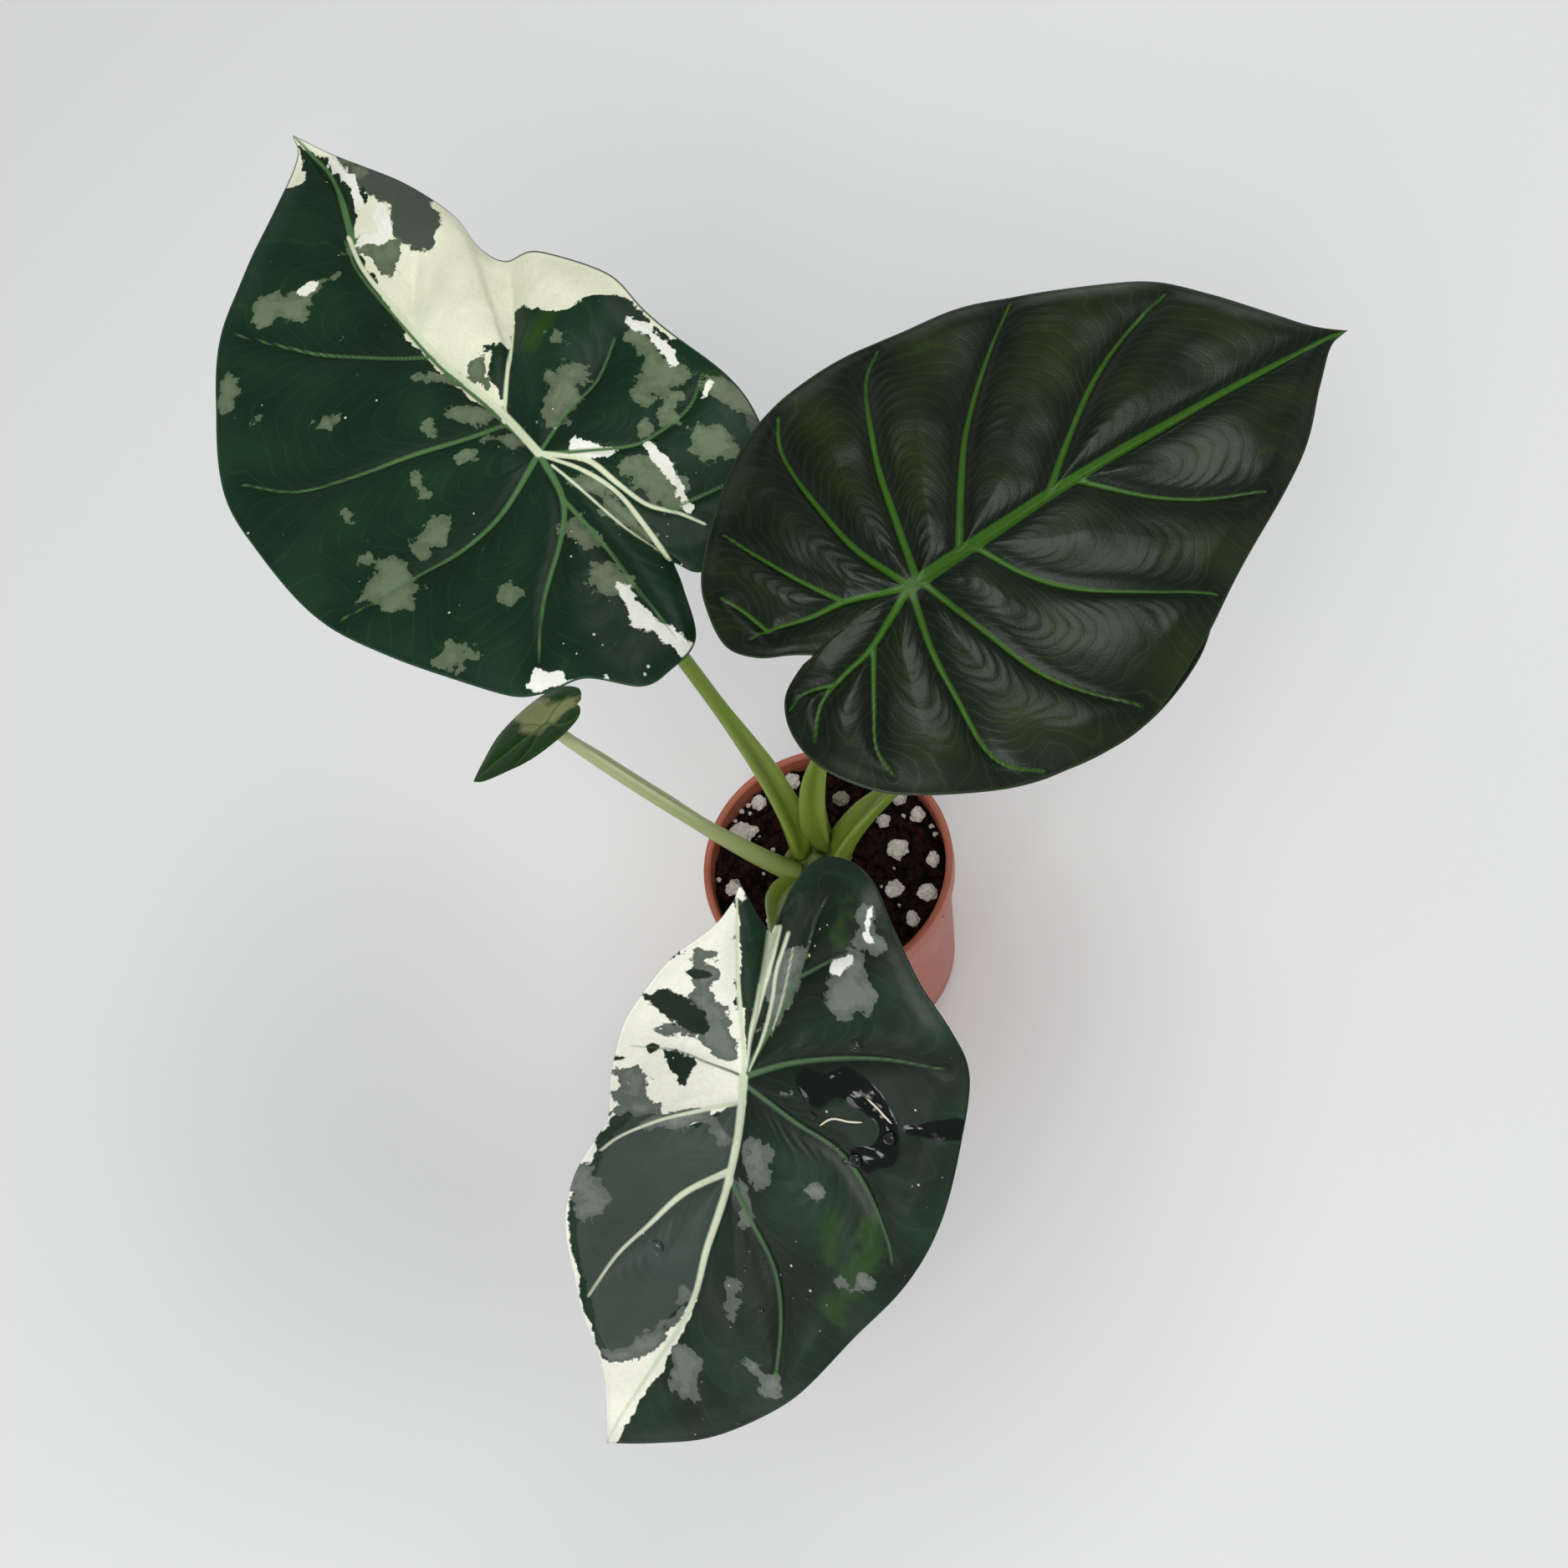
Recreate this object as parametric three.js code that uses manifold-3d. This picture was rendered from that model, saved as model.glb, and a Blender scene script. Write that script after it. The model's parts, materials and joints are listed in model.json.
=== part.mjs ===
// Potted alocasia: a young elephant-ear plant in a round plastic nursery pot.
// Millimetres, +Z up. The origin is the centre of the pot's underside, where the pot stands.
import * as THREE from "three";
import { mergeVertices } from "three/addons/utils/BufferGeometryUtils.js";
import Module from "manifold-3d";

const wasm = await Module();
wasm.setup();

// Nursery pot
const potHeight = 108;
const potTopRadius = 52.5;      // outside of the rim band
const potBaseRadius = 45;
const potWall = 1.4;
const floorThickness = 2;
const rimHeight = 12;           // the thicker band round the mouth
const rimOverhang = 1.6;        // how far the band stands proud of the wall
const footChannel = { inner: 20, outer: 37, depth: 0.9 };
const drainHoles = { count: 8, radius: 3.4, ringRadius: 28.5 };
const potSides = 48;

// Growing mix
const headspace = 9;            // from the rim down to the mix
const fitGap = 0.3;             // clearance between pieces that rest on each other

// Crown, the corm top that all stalks rise from, set a little off the pot's middle
const crownPlace = [-4, 4];
const crownDepth = 14;
const crownShoulder = 0.8;      // its flat rim outside the stalk feet
const crownLip = 1;             // how far its flat top stands above the mix
const budHeight = 11;

// Stalks and blades
const stalkFootRadius = 4.7;
const stalkSpacing = 64;        // the closest that two stalk feet stand, in degrees
const stalkMidRadius = 3.4;
const stalkTopRadius = 2.6;
const sheathShare = 0.42;       // the part of a stalk that its sheath thickens
const bladeThickness = 1.2;
const bladeRings = 5;
const bladeSamples = 26;        // margin points on each half of a blade

// A leaf: where its stalk meets the blade (x, y, height above the mix), the compass heading,
// pitch and bank of the blade, and its margin as [across, along, lift] from that meeting point.
// The stalk starts at a compass place on the crown, along start, and arrives over reach.
// Each margin half runs from the tip to the notch between the two back lobes.
const leaves = [
  {
    attach: [-45, 76, 236], heading: 105.5, pitch: -2, bank: 0,
    foot: 119, start: [5, 0, 90], reach: 60,
    tip: [0, 193, -4], notch: [15, -58, -12],
    right: [
      [7, 170, 0], [20, 135, 4], [28, 111, 0], [29, 97, -6], [33, 84, -5], [43, 72, 4],
      [57, 48, 2], [60, 26, -2], [67, -12, -3], [67, -31, -7], [61, -47, -12],
      [48, -61, -16], [33, -67, -17], [20, -65, -15],
    ],
    left: [
      [-4, 180, -2], [-23, 160, 0], [-64, 123, 0], [-83, 89, -1], [-95, 59, -1], [-96, 30, -1],
      [-92, -6, 1], [-80, -34, 0], [-57, -68, -4], [-45, -79, -2], [-32, -84, -1],
      [-19, -96, -5], [-8, -95, -8], [5, -89, -10], [12, -70, -11],
    ],
  },
  {
    attach: [51, -29, 251], heading: 17, pitch: -10, bank: 0,
    foot: 54, start: [0, 0, 120], reach: 60,
    tip: [-3, 185, -6], notch: [2, -37, -3],
    right: [
      [-2, 176, -6], [9, 161, -6], [28, 136, -7], [50, 91, -8], [65, 62, -9], [76, 29, -10],
      [73, -2, -11], [63, -27, -10], [51, -45, -9], [36, -56, -8], [21, -58, -7],
      [9, -53, -6], [3, -43, -4],
    ],
    left: [
      [-14, 172, -4], [-42, 158, -6], [-65, 139, -8], [-84, 95, -7], [-90, 65, -8],
      [-93, 39, -8], [-89, 12, -8], [-78, -12, -8], [-60, -33, -7], [-44, -48, -7],
      [-31, -54, -7], [-18, -56, -7], [-9, -51, -6], [-3, -43, -4],
    ],
  },
  {
    attach: [-48, -138, 193], heading: 216.5, pitch: -45, bank: 0,
    foot: 250, start: [-34, -16, 64], reach: 55,
    tip: [0, 162, 0], notch: [6, -52, 4],
    right: [
      [7, 140, 2], [13, 121, 6], [23, 101, 13], [32, 74, 20], [33, 54, 23], [31, 39, 24],
      [28, 24, 24], [31, 9, 24], [33, -8, 24], [30, -24, 24], [26, -38, 22], [18, -53, 20],
      [15, -63, 20], [13, -71, 22], [9, -60, 12],
    ],
    left: [
      [-17, 149, -2], [-38, 127, -3], [-54, 98, -3], [-64, 64, -4], [-72, 36, -5],
      [-74, 9, -6], [-70, -17, -7], [-64, -39, -7], [-54, -51, -5], [-39, -61, -4],
      [-27, -72, -3], [-17, -82, -3], [-7, -84, -4], [3, -79, -4], [7, -68, -1],
    ],
  },
  {
    attach: [-85, 60, 93], heading: 185, pitch: -21, bank: 22,
    foot: 183, start: [-25, 14, 22], reach: 14,
    tip: [1, 41, -3], notch: [1, -14, -1],
    right: [[6, 35, -2], [16, 24, -2], [22, 8, -3], [20, -6, -3], [12, -15, -3], [4, -16, -2]],
    left: [[-4, 35, -2], [-10, 22, 0], [-14, 8, 1], [-13, -6, 1], [-9, -15, 1], [-3, -16, 0]],
  },
  {
    attach: [78, -17, 159], heading: 14, pitch: -8, bank: 0,
    foot: 348, start: [10, 0, 50], reach: 45,
    tip: [0, 112, -6], notch: [0, -22, -2],
    right: [
      [5, 103, -4], [18, 84, -3], [35, 62, -4], [45, 36, -5], [47, 10, -6], [42, -13, -6],
      [31, -30, -6], [18, -36, -5], [6, -32, -4],
    ],
    left: [
      [-5, 103, -4], [-18, 87, -3], [-34, 63, -3], [-44, 37, -4], [-47, 11, -5], [-42, -12, -5],
      [-31, -29, -5], [-18, -35, -5], [-6, -30, -4],
    ],
  },
];

// Pumice on the mix: compass place, distance from its edge, half sizes and turn
const pumice = [
  { place: 115, inset: 5.5, size: [3.6, 3.4, 2.8], turn: 20 },
  { place: 136, inset: 8.5, size: [7.6, 5.4, 3.4], turn: -15 },
  { place: 172, inset: 7.5, size: [4.4, 3.8, 3.2], turn: 40 },
  { place: 354, inset: 19, size: [4.8, 4.4, 3.8], turn: 0 },
  { place: 12, inset: 5, size: [3.8, 3.2, 2.6], turn: 70 },
  { place: 26, inset: 6, size: [3.4, 3, 2.6], turn: 10 },
  { place: 22, inset: 18, size: [3.6, 3, 2.4], turn: 55 },
  { place: 320, inset: 19, size: [5, 3, 2.8], turn: -35 },
  { place: 323, inset: 5.5, size: [4.4, 4, 3.4], turn: 15 },
  { place: 306, inset: 6, size: [3.4, 3, 2.4], turn: 80 },
  { place: 343, inset: 5, size: [3.8, 3, 2.4], turn: 95 },
  { place: 93, inset: 5, size: [3.8, 3.2, 2.8], turn: 30 },
  { place: 80, inset: 6.5, size: [3.2, 2.8, 2.4], turn: -20 },
  { place: 62, inset: 17, size: [4, 3.2, 2.8], turn: 45 },
  { place: 286, inset: 9, size: [4.8, 4, 3.4], turn: -60 },
  { place: 238, inset: 7, size: [5, 3.8, 3.2], turn: 25 },
  { place: 205, inset: 17, size: [3.8, 3.2, 2.6], turn: 60 },
];

const terracottaPlastic = { color: 0xb06a55, roughness: 0.55, metalness: 0 };
const darkMix = { color: 0x1d1511, roughness: 0.97, metalness: 0 };
const palePumice = { color: 0xcfc2b2, roughness: 0.95, metalness: 0 };
const crownGreen = { color: 0x7f9446, roughness: 0.6, metalness: 0 };
const stalkGreen = { color: 0x6f8a34, roughness: 0.5, metalness: 0 };
const bladeGreens = [0x173a2b, 0x1b3a16, 0x1d3f33, 0x3c6226, 0x1b3a16];

const mixTop = potHeight - headspace;
const stalkRing = (stalkFootRadius + fitGap) / Math.sin(THREE.MathUtils.degToRad(stalkSpacing / 2));
const crownRadius = stalkRing + stalkFootRadius + crownShoulder;
const budRadius = stalkRing - stalkFootRadius - 2 * fitGap;

function namedMesh(name, geometry, look) {
  const mesh = new THREE.Mesh(geometry, new THREE.MeshStandardMaterial(look));
  mesh.name = name;
  return mesh;
}

// A body turned about +Z from [radius, height] points, listed from the bottom axis point round
function turned(points, sides) {
  const profile = points.map(([radius, height]) => new THREE.Vector2(radius, height));
  return new THREE.LatheGeometry(profile, sides).rotateX(Math.PI / 2);
}

function toSolid(geometry) {
  const bare = geometry.clone();
  bare.deleteAttribute("normal");
  bare.deleteAttribute("uv");
  const merged = mergeVertices(bare, 1e-4);
  const vertProperties = new Float32Array(merged.attributes.position.array);
  const triVerts = new Uint32Array(merged.index.array);
  return new wasm.Manifold(new wasm.Mesh({ numProp: 3, vertProperties, triVerts }));
}

function fromSolid(solid) {
  const mesh = solid.getMesh();
  const geometry = new THREE.BufferGeometry();
  geometry.setAttribute("position", new THREE.BufferAttribute(mesh.vertProperties, 3));
  geometry.setIndex(new THREE.BufferAttribute(mesh.triVerts, 1));
  geometry.computeVertexNormals();
  return geometry;
}

// Outside radius of the plain wall, below and behind the rim band
function wallRadius(height) {
  const topRadius = potTopRadius - rimOverhang;
  return potBaseRadius + (topRadius - potBaseRadius) * (height / potHeight);
}

function potGeometry() {
  const bandFoot = potHeight - rimHeight;
  let pot = toSolid(turned([
    [0, 0],
    [footChannel.inner, 0],
    [footChannel.inner + footChannel.depth, footChannel.depth],
    [footChannel.outer - footChannel.depth, footChannel.depth],
    [footChannel.outer, 0],
    [potBaseRadius, 0],
    [wallRadius(bandFoot), bandFoot],
    [potTopRadius, bandFoot + rimOverhang / 2],
    [potTopRadius, potHeight - rimOverhang / 2],
    [potTopRadius - rimOverhang / 2, potHeight],
    [wallRadius(potHeight) - potWall, potHeight],
    [wallRadius(floorThickness) - potWall, floorThickness],
    [0, floorThickness],
  ], potSides));
  const drill = new THREE.CylinderGeometry(drainHoles.radius, drainHoles.radius, 4 * floorThickness, 12);
  drill.rotateX(Math.PI / 2);
  for (let hole = 0; hole < drainHoles.count; hole += 1) {
    const angle = (hole / drainHoles.count) * 2 * Math.PI;
    const place = drill.clone().translate(
      drainHoles.ringRadius * Math.cos(angle),
      drainHoles.ringRadius * Math.sin(angle),
      0,
    );
    pot = pot.subtract(toSolid(place));
  }
  return fromSolid(pot);
}

// The mix fills the pot and has a socket for the crown
function mixGeometry() {
  const underside = floorThickness + fitGap;
  const fill = turned([
    [0, underside],
    [wallRadius(underside) - potWall - fitGap, underside],
    [mixRadius(), mixTop],
    [0, mixTop],
  ], potSides);
  const socket = turned([
    [0, mixTop - crownDepth - fitGap],
    [crownRadius * 0.6 + fitGap, mixTop - crownDepth - fitGap],
    [crownRadius + fitGap, mixTop - crownDepth / 3],
    [crownRadius + fitGap, mixTop + crownLip],
    [0, mixTop + crownLip],
  ], 24).translate(...crownPlace, 0);
  return fromSolid(toSolid(fill).subtract(toSolid(socket)));
}

function mixRadius() {
  return wallRadius(mixTop) - potWall - fitGap;
}

// Heights here and below are from the top of the mix
function crownGeometry() {
  return turned([
    [0, -crownDepth],
    [crownRadius * 0.6, -crownDepth],
    [crownRadius, -crownDepth / 3],
    [crownRadius, crownLip],
    [budRadius, crownLip],
    [budRadius, budHeight / 2],
    [budRadius / 2, budHeight * 0.85],
    [0, budHeight],
  ], 24);
}

// A lump: a subdivided icosahedron whose corners are pushed in and out by a fixed wave
function pumiceGeometry(chunk, number) {
  const lump = new THREE.IcosahedronGeometry(1, 1);
  const position = lump.attributes.position;
  const corner = new THREE.Vector3();
  for (let index = 0; index < position.count; index += 1) {
    corner.fromBufferAttribute(position, index);
    const bump = Math.sin(5 * corner.x + number) + Math.sin(4 * corner.y - 2 * number + corner.z);
    corner.multiplyScalar(1 + 0.07 * bump);
    position.setXYZ(index, corner.x, corner.y, corner.z);
  }
  lump.scale(...chunk.size);
  lump.rotateZ(THREE.MathUtils.degToRad(chunk.turn));
  lump.computeBoundingBox();
  return lump.translate(0, 0, fitGap - lump.boundingBox.min.z);
}

// The blade's axes: x across to the right, y along the midrib to the tip, z out of the top face
function bladeTurn(leaf) {
  const heading = THREE.MathUtils.degToRad(leaf.heading - 90);
  const pitch = THREE.MathUtils.degToRad(leaf.pitch);
  const bank = THREE.MathUtils.degToRad(leaf.bank);
  return new THREE.Euler(pitch, bank, heading, "ZXY");
}

function marginPoints(leaf) {
  const half = (side) => {
    const points = [leaf.notch, ...[...side].reverse(), leaf.tip];
    const curve = new THREE.CatmullRomCurve3(points.map((point) => new THREE.Vector3(...point)),
      false, "catmullrom", 0.5);
    return curve.getSpacedPoints(bladeSamples);
  };
  const leftHalf = half(leaf.left).reverse();
  return [...half(leaf.right), ...leftHalf.slice(1, -1)];
}

// A flat disc stretched to the margin: each ring point keeps its share of the way out, and the
// lift grows with the square of that share, so the blade is level where the stalk meets it.
function bladeGeometry(leaf) {
  const margin = marginPoints(leaf);
  const face = (height) => Array.from({ length: bladeRings }, (_, ring) => (
    new THREE.Vector2((ring + 1) / bladeRings, height)
  ));
  const half = bladeThickness / 2;
  const profile = [
    new THREE.Vector2(0, -half), ...face(-half), ...face(half).reverse(), new THREE.Vector2(0, half),
  ];
  const disc = new THREE.LatheGeometry(profile, margin.length);
  const position = disc.attributes.position;
  for (let side = 0; side <= margin.length; side += 1) {
    const edge = margin[side % margin.length];
    profile.forEach((point, row) => {
      const share = point.x;
      position.setXYZ(side * profile.length + row,
        edge.x * share, edge.y * share, edge.z * share * share + point.y);
    });
  }
  disc.computeVertexNormals();
  return disc;
}

// The stalk ends square to the blade's underside
function stalkCurve(leaf) {
  const angle = THREE.MathUtils.degToRad(leaf.foot);
  const footPoint = new THREE.Vector3(
    crownPlace[0] + stalkRing * Math.cos(angle),
    crownPlace[1] + stalkRing * Math.sin(angle),
    crownLip + fitGap,
  );
  const outOfBlade = new THREE.Vector3(0, 0, 1).applyEuler(bladeTurn(leaf));
  const topPoint = new THREE.Vector3(...leaf.attach)
    .addScaledVector(outOfBlade, -(bladeThickness / 2 + fitGap));
  return new THREE.CubicBezierCurve3(
    footPoint,
    footPoint.clone().add(new THREE.Vector3(...leaf.start)),
    topPoint.clone().addScaledVector(outOfBlade, -leaf.reach),
    topPoint,
  );
}

function stalkRadius(share) {
  const upper = stalkTopRadius + (stalkMidRadius - stalkTopRadius) * (1 - share);
  const sheath = Math.max(0, 1 - share / sheathShare);
  return upper + (stalkFootRadius - stalkMidRadius) * sheath;
}

function stalkGeometry(leaf) {
  const curve = stalkCurve(leaf);
  const steps = 18;
  const sides = 12;
  const profile = [new THREE.Vector2(0, 0)];
  for (let step = 0; step <= steps; step += 1) {
    profile.push(new THREE.Vector2(stalkRadius(step / steps), step));
  }
  profile.push(new THREE.Vector2(0, steps));
  const rod = new THREE.LatheGeometry(profile, sides);
  const frames = curve.computeFrenetFrames(steps, false);
  const position = rod.attributes.position;
  for (let index = 0; index < position.count; index += 1) {
    const step = Math.round(position.getY(index));
    const spot = curve.getPointAt(step / steps)
      .addScaledVector(frames.normals[step], position.getZ(index))
      .addScaledVector(frames.binormals[step], position.getX(index));
    const seat = crownLip + fitGap;     // a leaning foot is cut level where it stands
    position.setXYZ(index, spot.x, spot.y, Math.max(spot.z, seat));
  }
  rod.computeVertexNormals();
  return rod;
}

const pottedAlocasia = new THREE.Group();
pottedAlocasia.add(namedMesh("nursery_pot", potGeometry(), terracottaPlastic));
pottedAlocasia.add(namedMesh("potting_mix", mixGeometry(), darkMix));

// Everything that stands on the mix
const planting = new THREE.Group();
planting.position.z = mixTop;
pottedAlocasia.add(planting);

const crown = namedMesh("crown", crownGeometry(), crownGreen);
crown.position.set(...crownPlace, 0);
planting.add(crown);

pumice.forEach((chunk, index) => {
  const number = String(index + 1).padStart(2, "0");
  const mesh = namedMesh(`pumice_chunk_${number}`, pumiceGeometry(chunk, index), palePumice);
  const angle = THREE.MathUtils.degToRad(chunk.place);
  const radius = mixRadius() - chunk.inset;
  mesh.position.set(radius * Math.cos(angle), radius * Math.sin(angle), 0);
  planting.add(mesh);
});

leaves.forEach((leaf, index) => {
  const stalk = namedMesh(`petiole_${index + 1}`, stalkGeometry(leaf), stalkGreen);
  const bladeLook = { color: bladeGreens[index], roughness: 0.35, metalness: 0 };
  const blade = namedMesh(`leaf_blade_${index + 1}`, bladeGeometry(leaf), bladeLook);
  blade.position.set(...leaf.attach);
  blade.rotation.copy(bladeTurn(leaf));
  planting.add(stalk, blade);
});

export default pottedAlocasia;
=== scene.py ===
# Potted alocasia: the detailed plant, pot and mix, built round the CAD frame.
import json
import math
import random

import bmesh
import bpy
import numpy as np
from mathutils import Matrix, Vector, noise

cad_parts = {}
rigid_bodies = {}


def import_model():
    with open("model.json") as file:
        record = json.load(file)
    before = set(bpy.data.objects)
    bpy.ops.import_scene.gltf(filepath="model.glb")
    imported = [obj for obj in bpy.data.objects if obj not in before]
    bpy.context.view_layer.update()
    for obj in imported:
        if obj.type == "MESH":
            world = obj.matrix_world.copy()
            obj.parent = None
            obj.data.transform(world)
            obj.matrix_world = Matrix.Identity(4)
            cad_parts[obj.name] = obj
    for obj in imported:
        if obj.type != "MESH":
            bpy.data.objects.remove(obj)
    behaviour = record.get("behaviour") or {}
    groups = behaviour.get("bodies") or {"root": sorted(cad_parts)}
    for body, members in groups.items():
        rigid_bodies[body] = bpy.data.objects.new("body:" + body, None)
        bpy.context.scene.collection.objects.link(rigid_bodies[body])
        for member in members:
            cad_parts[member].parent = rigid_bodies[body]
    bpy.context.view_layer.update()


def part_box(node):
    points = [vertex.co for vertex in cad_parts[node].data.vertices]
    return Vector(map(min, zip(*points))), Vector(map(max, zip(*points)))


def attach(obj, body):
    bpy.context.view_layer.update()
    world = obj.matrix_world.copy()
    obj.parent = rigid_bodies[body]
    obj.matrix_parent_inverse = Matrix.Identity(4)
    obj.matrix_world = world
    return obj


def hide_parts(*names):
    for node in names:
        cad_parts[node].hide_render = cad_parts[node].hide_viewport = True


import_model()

mm = 0.001
random.seed(7)


def linearColour(hexColour):
    channels = [int(hexColour[place:place + 2], 16) / 255 for place in (1, 3, 5)]
    return tuple(c / 12.92 if c <= 0.04045 else ((c + 0.055) / 1.055) ** 2.4
                 for c in channels) + (1,)


# settings hold node properties and input values by name or place; links go to inputs
def addNode(tree, kind, settings=None, links=None):
    node = tree.nodes.new(kind)
    for key, value in (settings or {}).items():
        if isinstance(key, int) or key in node.inputs:
            node.inputs[key].default_value = value
        else:
            setattr(node, key, value)
    for key, socket in (links or {}).items():
        tree.links.new(socket, node.inputs[key])
    return node


def newMaterial(name, settings=None):
    material = bpy.data.materials.new(name)
    material.use_nodes = True
    material.node_tree.nodes.clear()
    tree = material.node_tree
    surface = addNode(tree, "ShaderNodeBsdfPrincipled", settings)
    addNode(tree, "ShaderNodeOutputMaterial", {}, {"Surface": surface.outputs["BSDF"]})
    return material, tree, surface


def boxCentre(node):
    low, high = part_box(node)
    return np.array((low + high) / 2) / mm


def selectOnly(*pieces):
    bpy.ops.object.select_all(action="DESELECT")
    for piece in pieces:
        piece.select_set(True)
    bpy.context.view_layer.objects.active = pieces[0]


def joinPieces(pieces, name):
    selectOnly(*pieces)
    bpy.ops.object.join()
    joined = bpy.context.object
    joined.name = name
    return joined


def placeInFrame(piece, node):
    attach(piece, "root")
    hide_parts(node)


def smoothLine(points, perSpan=8):
    points = np.array(points, float)
    ends = [2 * points[0] - points[1], *points, 2 * points[-1] - points[-2]]
    places = []
    for a, b, c, d in zip(ends, ends[1:], ends[2:], ends[3:]):
        for step in range(perSpan):
            t = step / perSpan
            places.append(0.5 * (2 * b + (c - a) * t + (2 * a - 5 * b + 4 * c - d) * t * t
                                 + (3 * b - a - 3 * c + d) * t ** 3))
    return np.array(places + [points[-1]])


def evenLine(points, count):
    fine = smoothLine(points, 30)
    run = np.concatenate([[0], np.cumsum(np.linalg.norm(np.diff(fine, axis=0), axis=1))])
    stops = np.linspace(0, run[-1], count + 1)
    return np.stack([np.interp(stops, run, fine[:, axis]) for axis in range(3)], axis=1)


def softStep(low, high, value):
    share = np.clip((value - low) / (high - low), 0, 1)
    return share * share * (3 - 2 * share)


def noiseField(places, grain, seed):
    shift = Vector((seed * 7.3, seed * 3.1, seed * 5.7))
    return np.array([noise.noise(Vector(place) / grain + shift) for place in places])


# A grid wrapped to any shape: turn runs 0 to 1 round it and out runs 0 to 1 along its rows.
# shape(turn, out) gives places in mm and named fields kept as attributes of the points.
def wrappedGrid(name, columns, rows, shape):
    bpy.ops.object.select_all(action="DESELECT")
    bpy.ops.mesh.primitive_grid_add(x_subdivisions=columns, y_subdivisions=rows, size=2)
    piece = bpy.context.object
    piece.name = name
    mesh = piece.data
    mesh.name = name
    flat = np.empty(len(mesh.vertices) * 3)
    mesh.vertices.foreach_get("co", flat)
    flat = flat.reshape(-1, 3)
    places, fields = shape((1 - flat[:, 0]) / 2, (flat[:, 1] + 1) / 2)
    mesh.vertices.foreach_set("co", (places * mm).ravel())
    for field, values in fields.items():
        isVector = values.ndim == 2
        kind = "FLOAT_VECTOR" if isVector else "FLOAT"
        attribute = mesh.attributes.new(field, kind, "POINT")
        attribute.data.foreach_set("vector" if isVector else "value", values.ravel())
    while mesh.uv_layers:
        mesh.uv_layers.remove(mesh.uv_layers[0])
    bpy.ops.object.mode_set(mode="EDIT")
    bpy.ops.mesh.select_all(action="SELECT")
    bpy.ops.mesh.remove_doubles(threshold=2e-6)
    bpy.ops.object.mode_set(mode="OBJECT")
    mesh.polygons.foreach_set("use_smooth", [True] * len(mesh.polygons))
    return piece


def turnOutwards(piece):
    selectOnly(piece)
    bpy.ops.object.mode_set(mode="EDIT")
    bpy.ops.mesh.select_all(action="SELECT")
    bpy.ops.mesh.normals_make_consistent(inside=False)
    bpy.ops.object.mode_set(mode="OBJECT")


# Distance from each point to a line, and how far along the line its nearest place lies. These
# fields over a blade work in mm, across and along it.
def lineReach(points, line):
    best = np.full(len(points), 1e9)
    along = np.zeros(len(points))
    run = 0.0
    for start, end in zip(line, line[1:]):
        span = end - start
        length = max(np.linalg.norm(span), 1e-6)
        share = np.clip((points - start) @ span / length ** 2, 0, 1)
        reach = np.linalg.norm(points - start - share[:, None] * span, axis=1)
        nearer = reach < best
        best = np.where(nearer, reach, best)
        along = np.where(nearer, run + share * length, along)
        run += length
    return best, along, run


# A gap is in mm, positive inside a shape, and never counts as further outside than this
farOutside = -30.0


# How far inside each point lies of strokes [half width at start, at end, points...]
def strokesGap(points, strokes):
    gap = np.full(len(points), farOutside)
    for wide, narrow, *line in strokes:
        if len(line) == 1:
            line = [line[0], line[0]]
        line = smoothLine(line) if len(line) > 2 else np.array(line, float)
        reach, along, run = lineReach(points, line)
        half = wide + (narrow - wide) * along / max(run, 1e-6)
        gap = np.maximum(gap, half - reach)
    return gap


# The strokes of one side of the midrib, and the same ones mirrored
def bothSides(strokes):
    return strokes + [[wide, narrow, *((-across, along) for across, along in line)]
                      for wide, narrow, *line in strokes]


# How far inside each point lies of closed outlines
def outlinesGap(points, outlines):
    gap = np.full(len(points), farOutside)
    for outline in outlines:
        ring = np.array(outline + outline[:1], float)
        reach = lineReach(points, ring)[0]
        inside = np.zeros(len(points), bool)
        for start, end in zip(ring, ring[1:]):
            crosses = (start[1] > points[:, 1]) != (end[1] > points[:, 1])
            rise = end[1] - start[1] if end[1] != start[1] else 1e-9
            meets = start[0] + (points[:, 1] - start[1]) * (end[0] - start[0]) / rise
            inside ^= crosses & (points[:, 0] < meets)
        gap = np.maximum(gap, np.where(inside, reach, -reach))
    return gap


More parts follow.
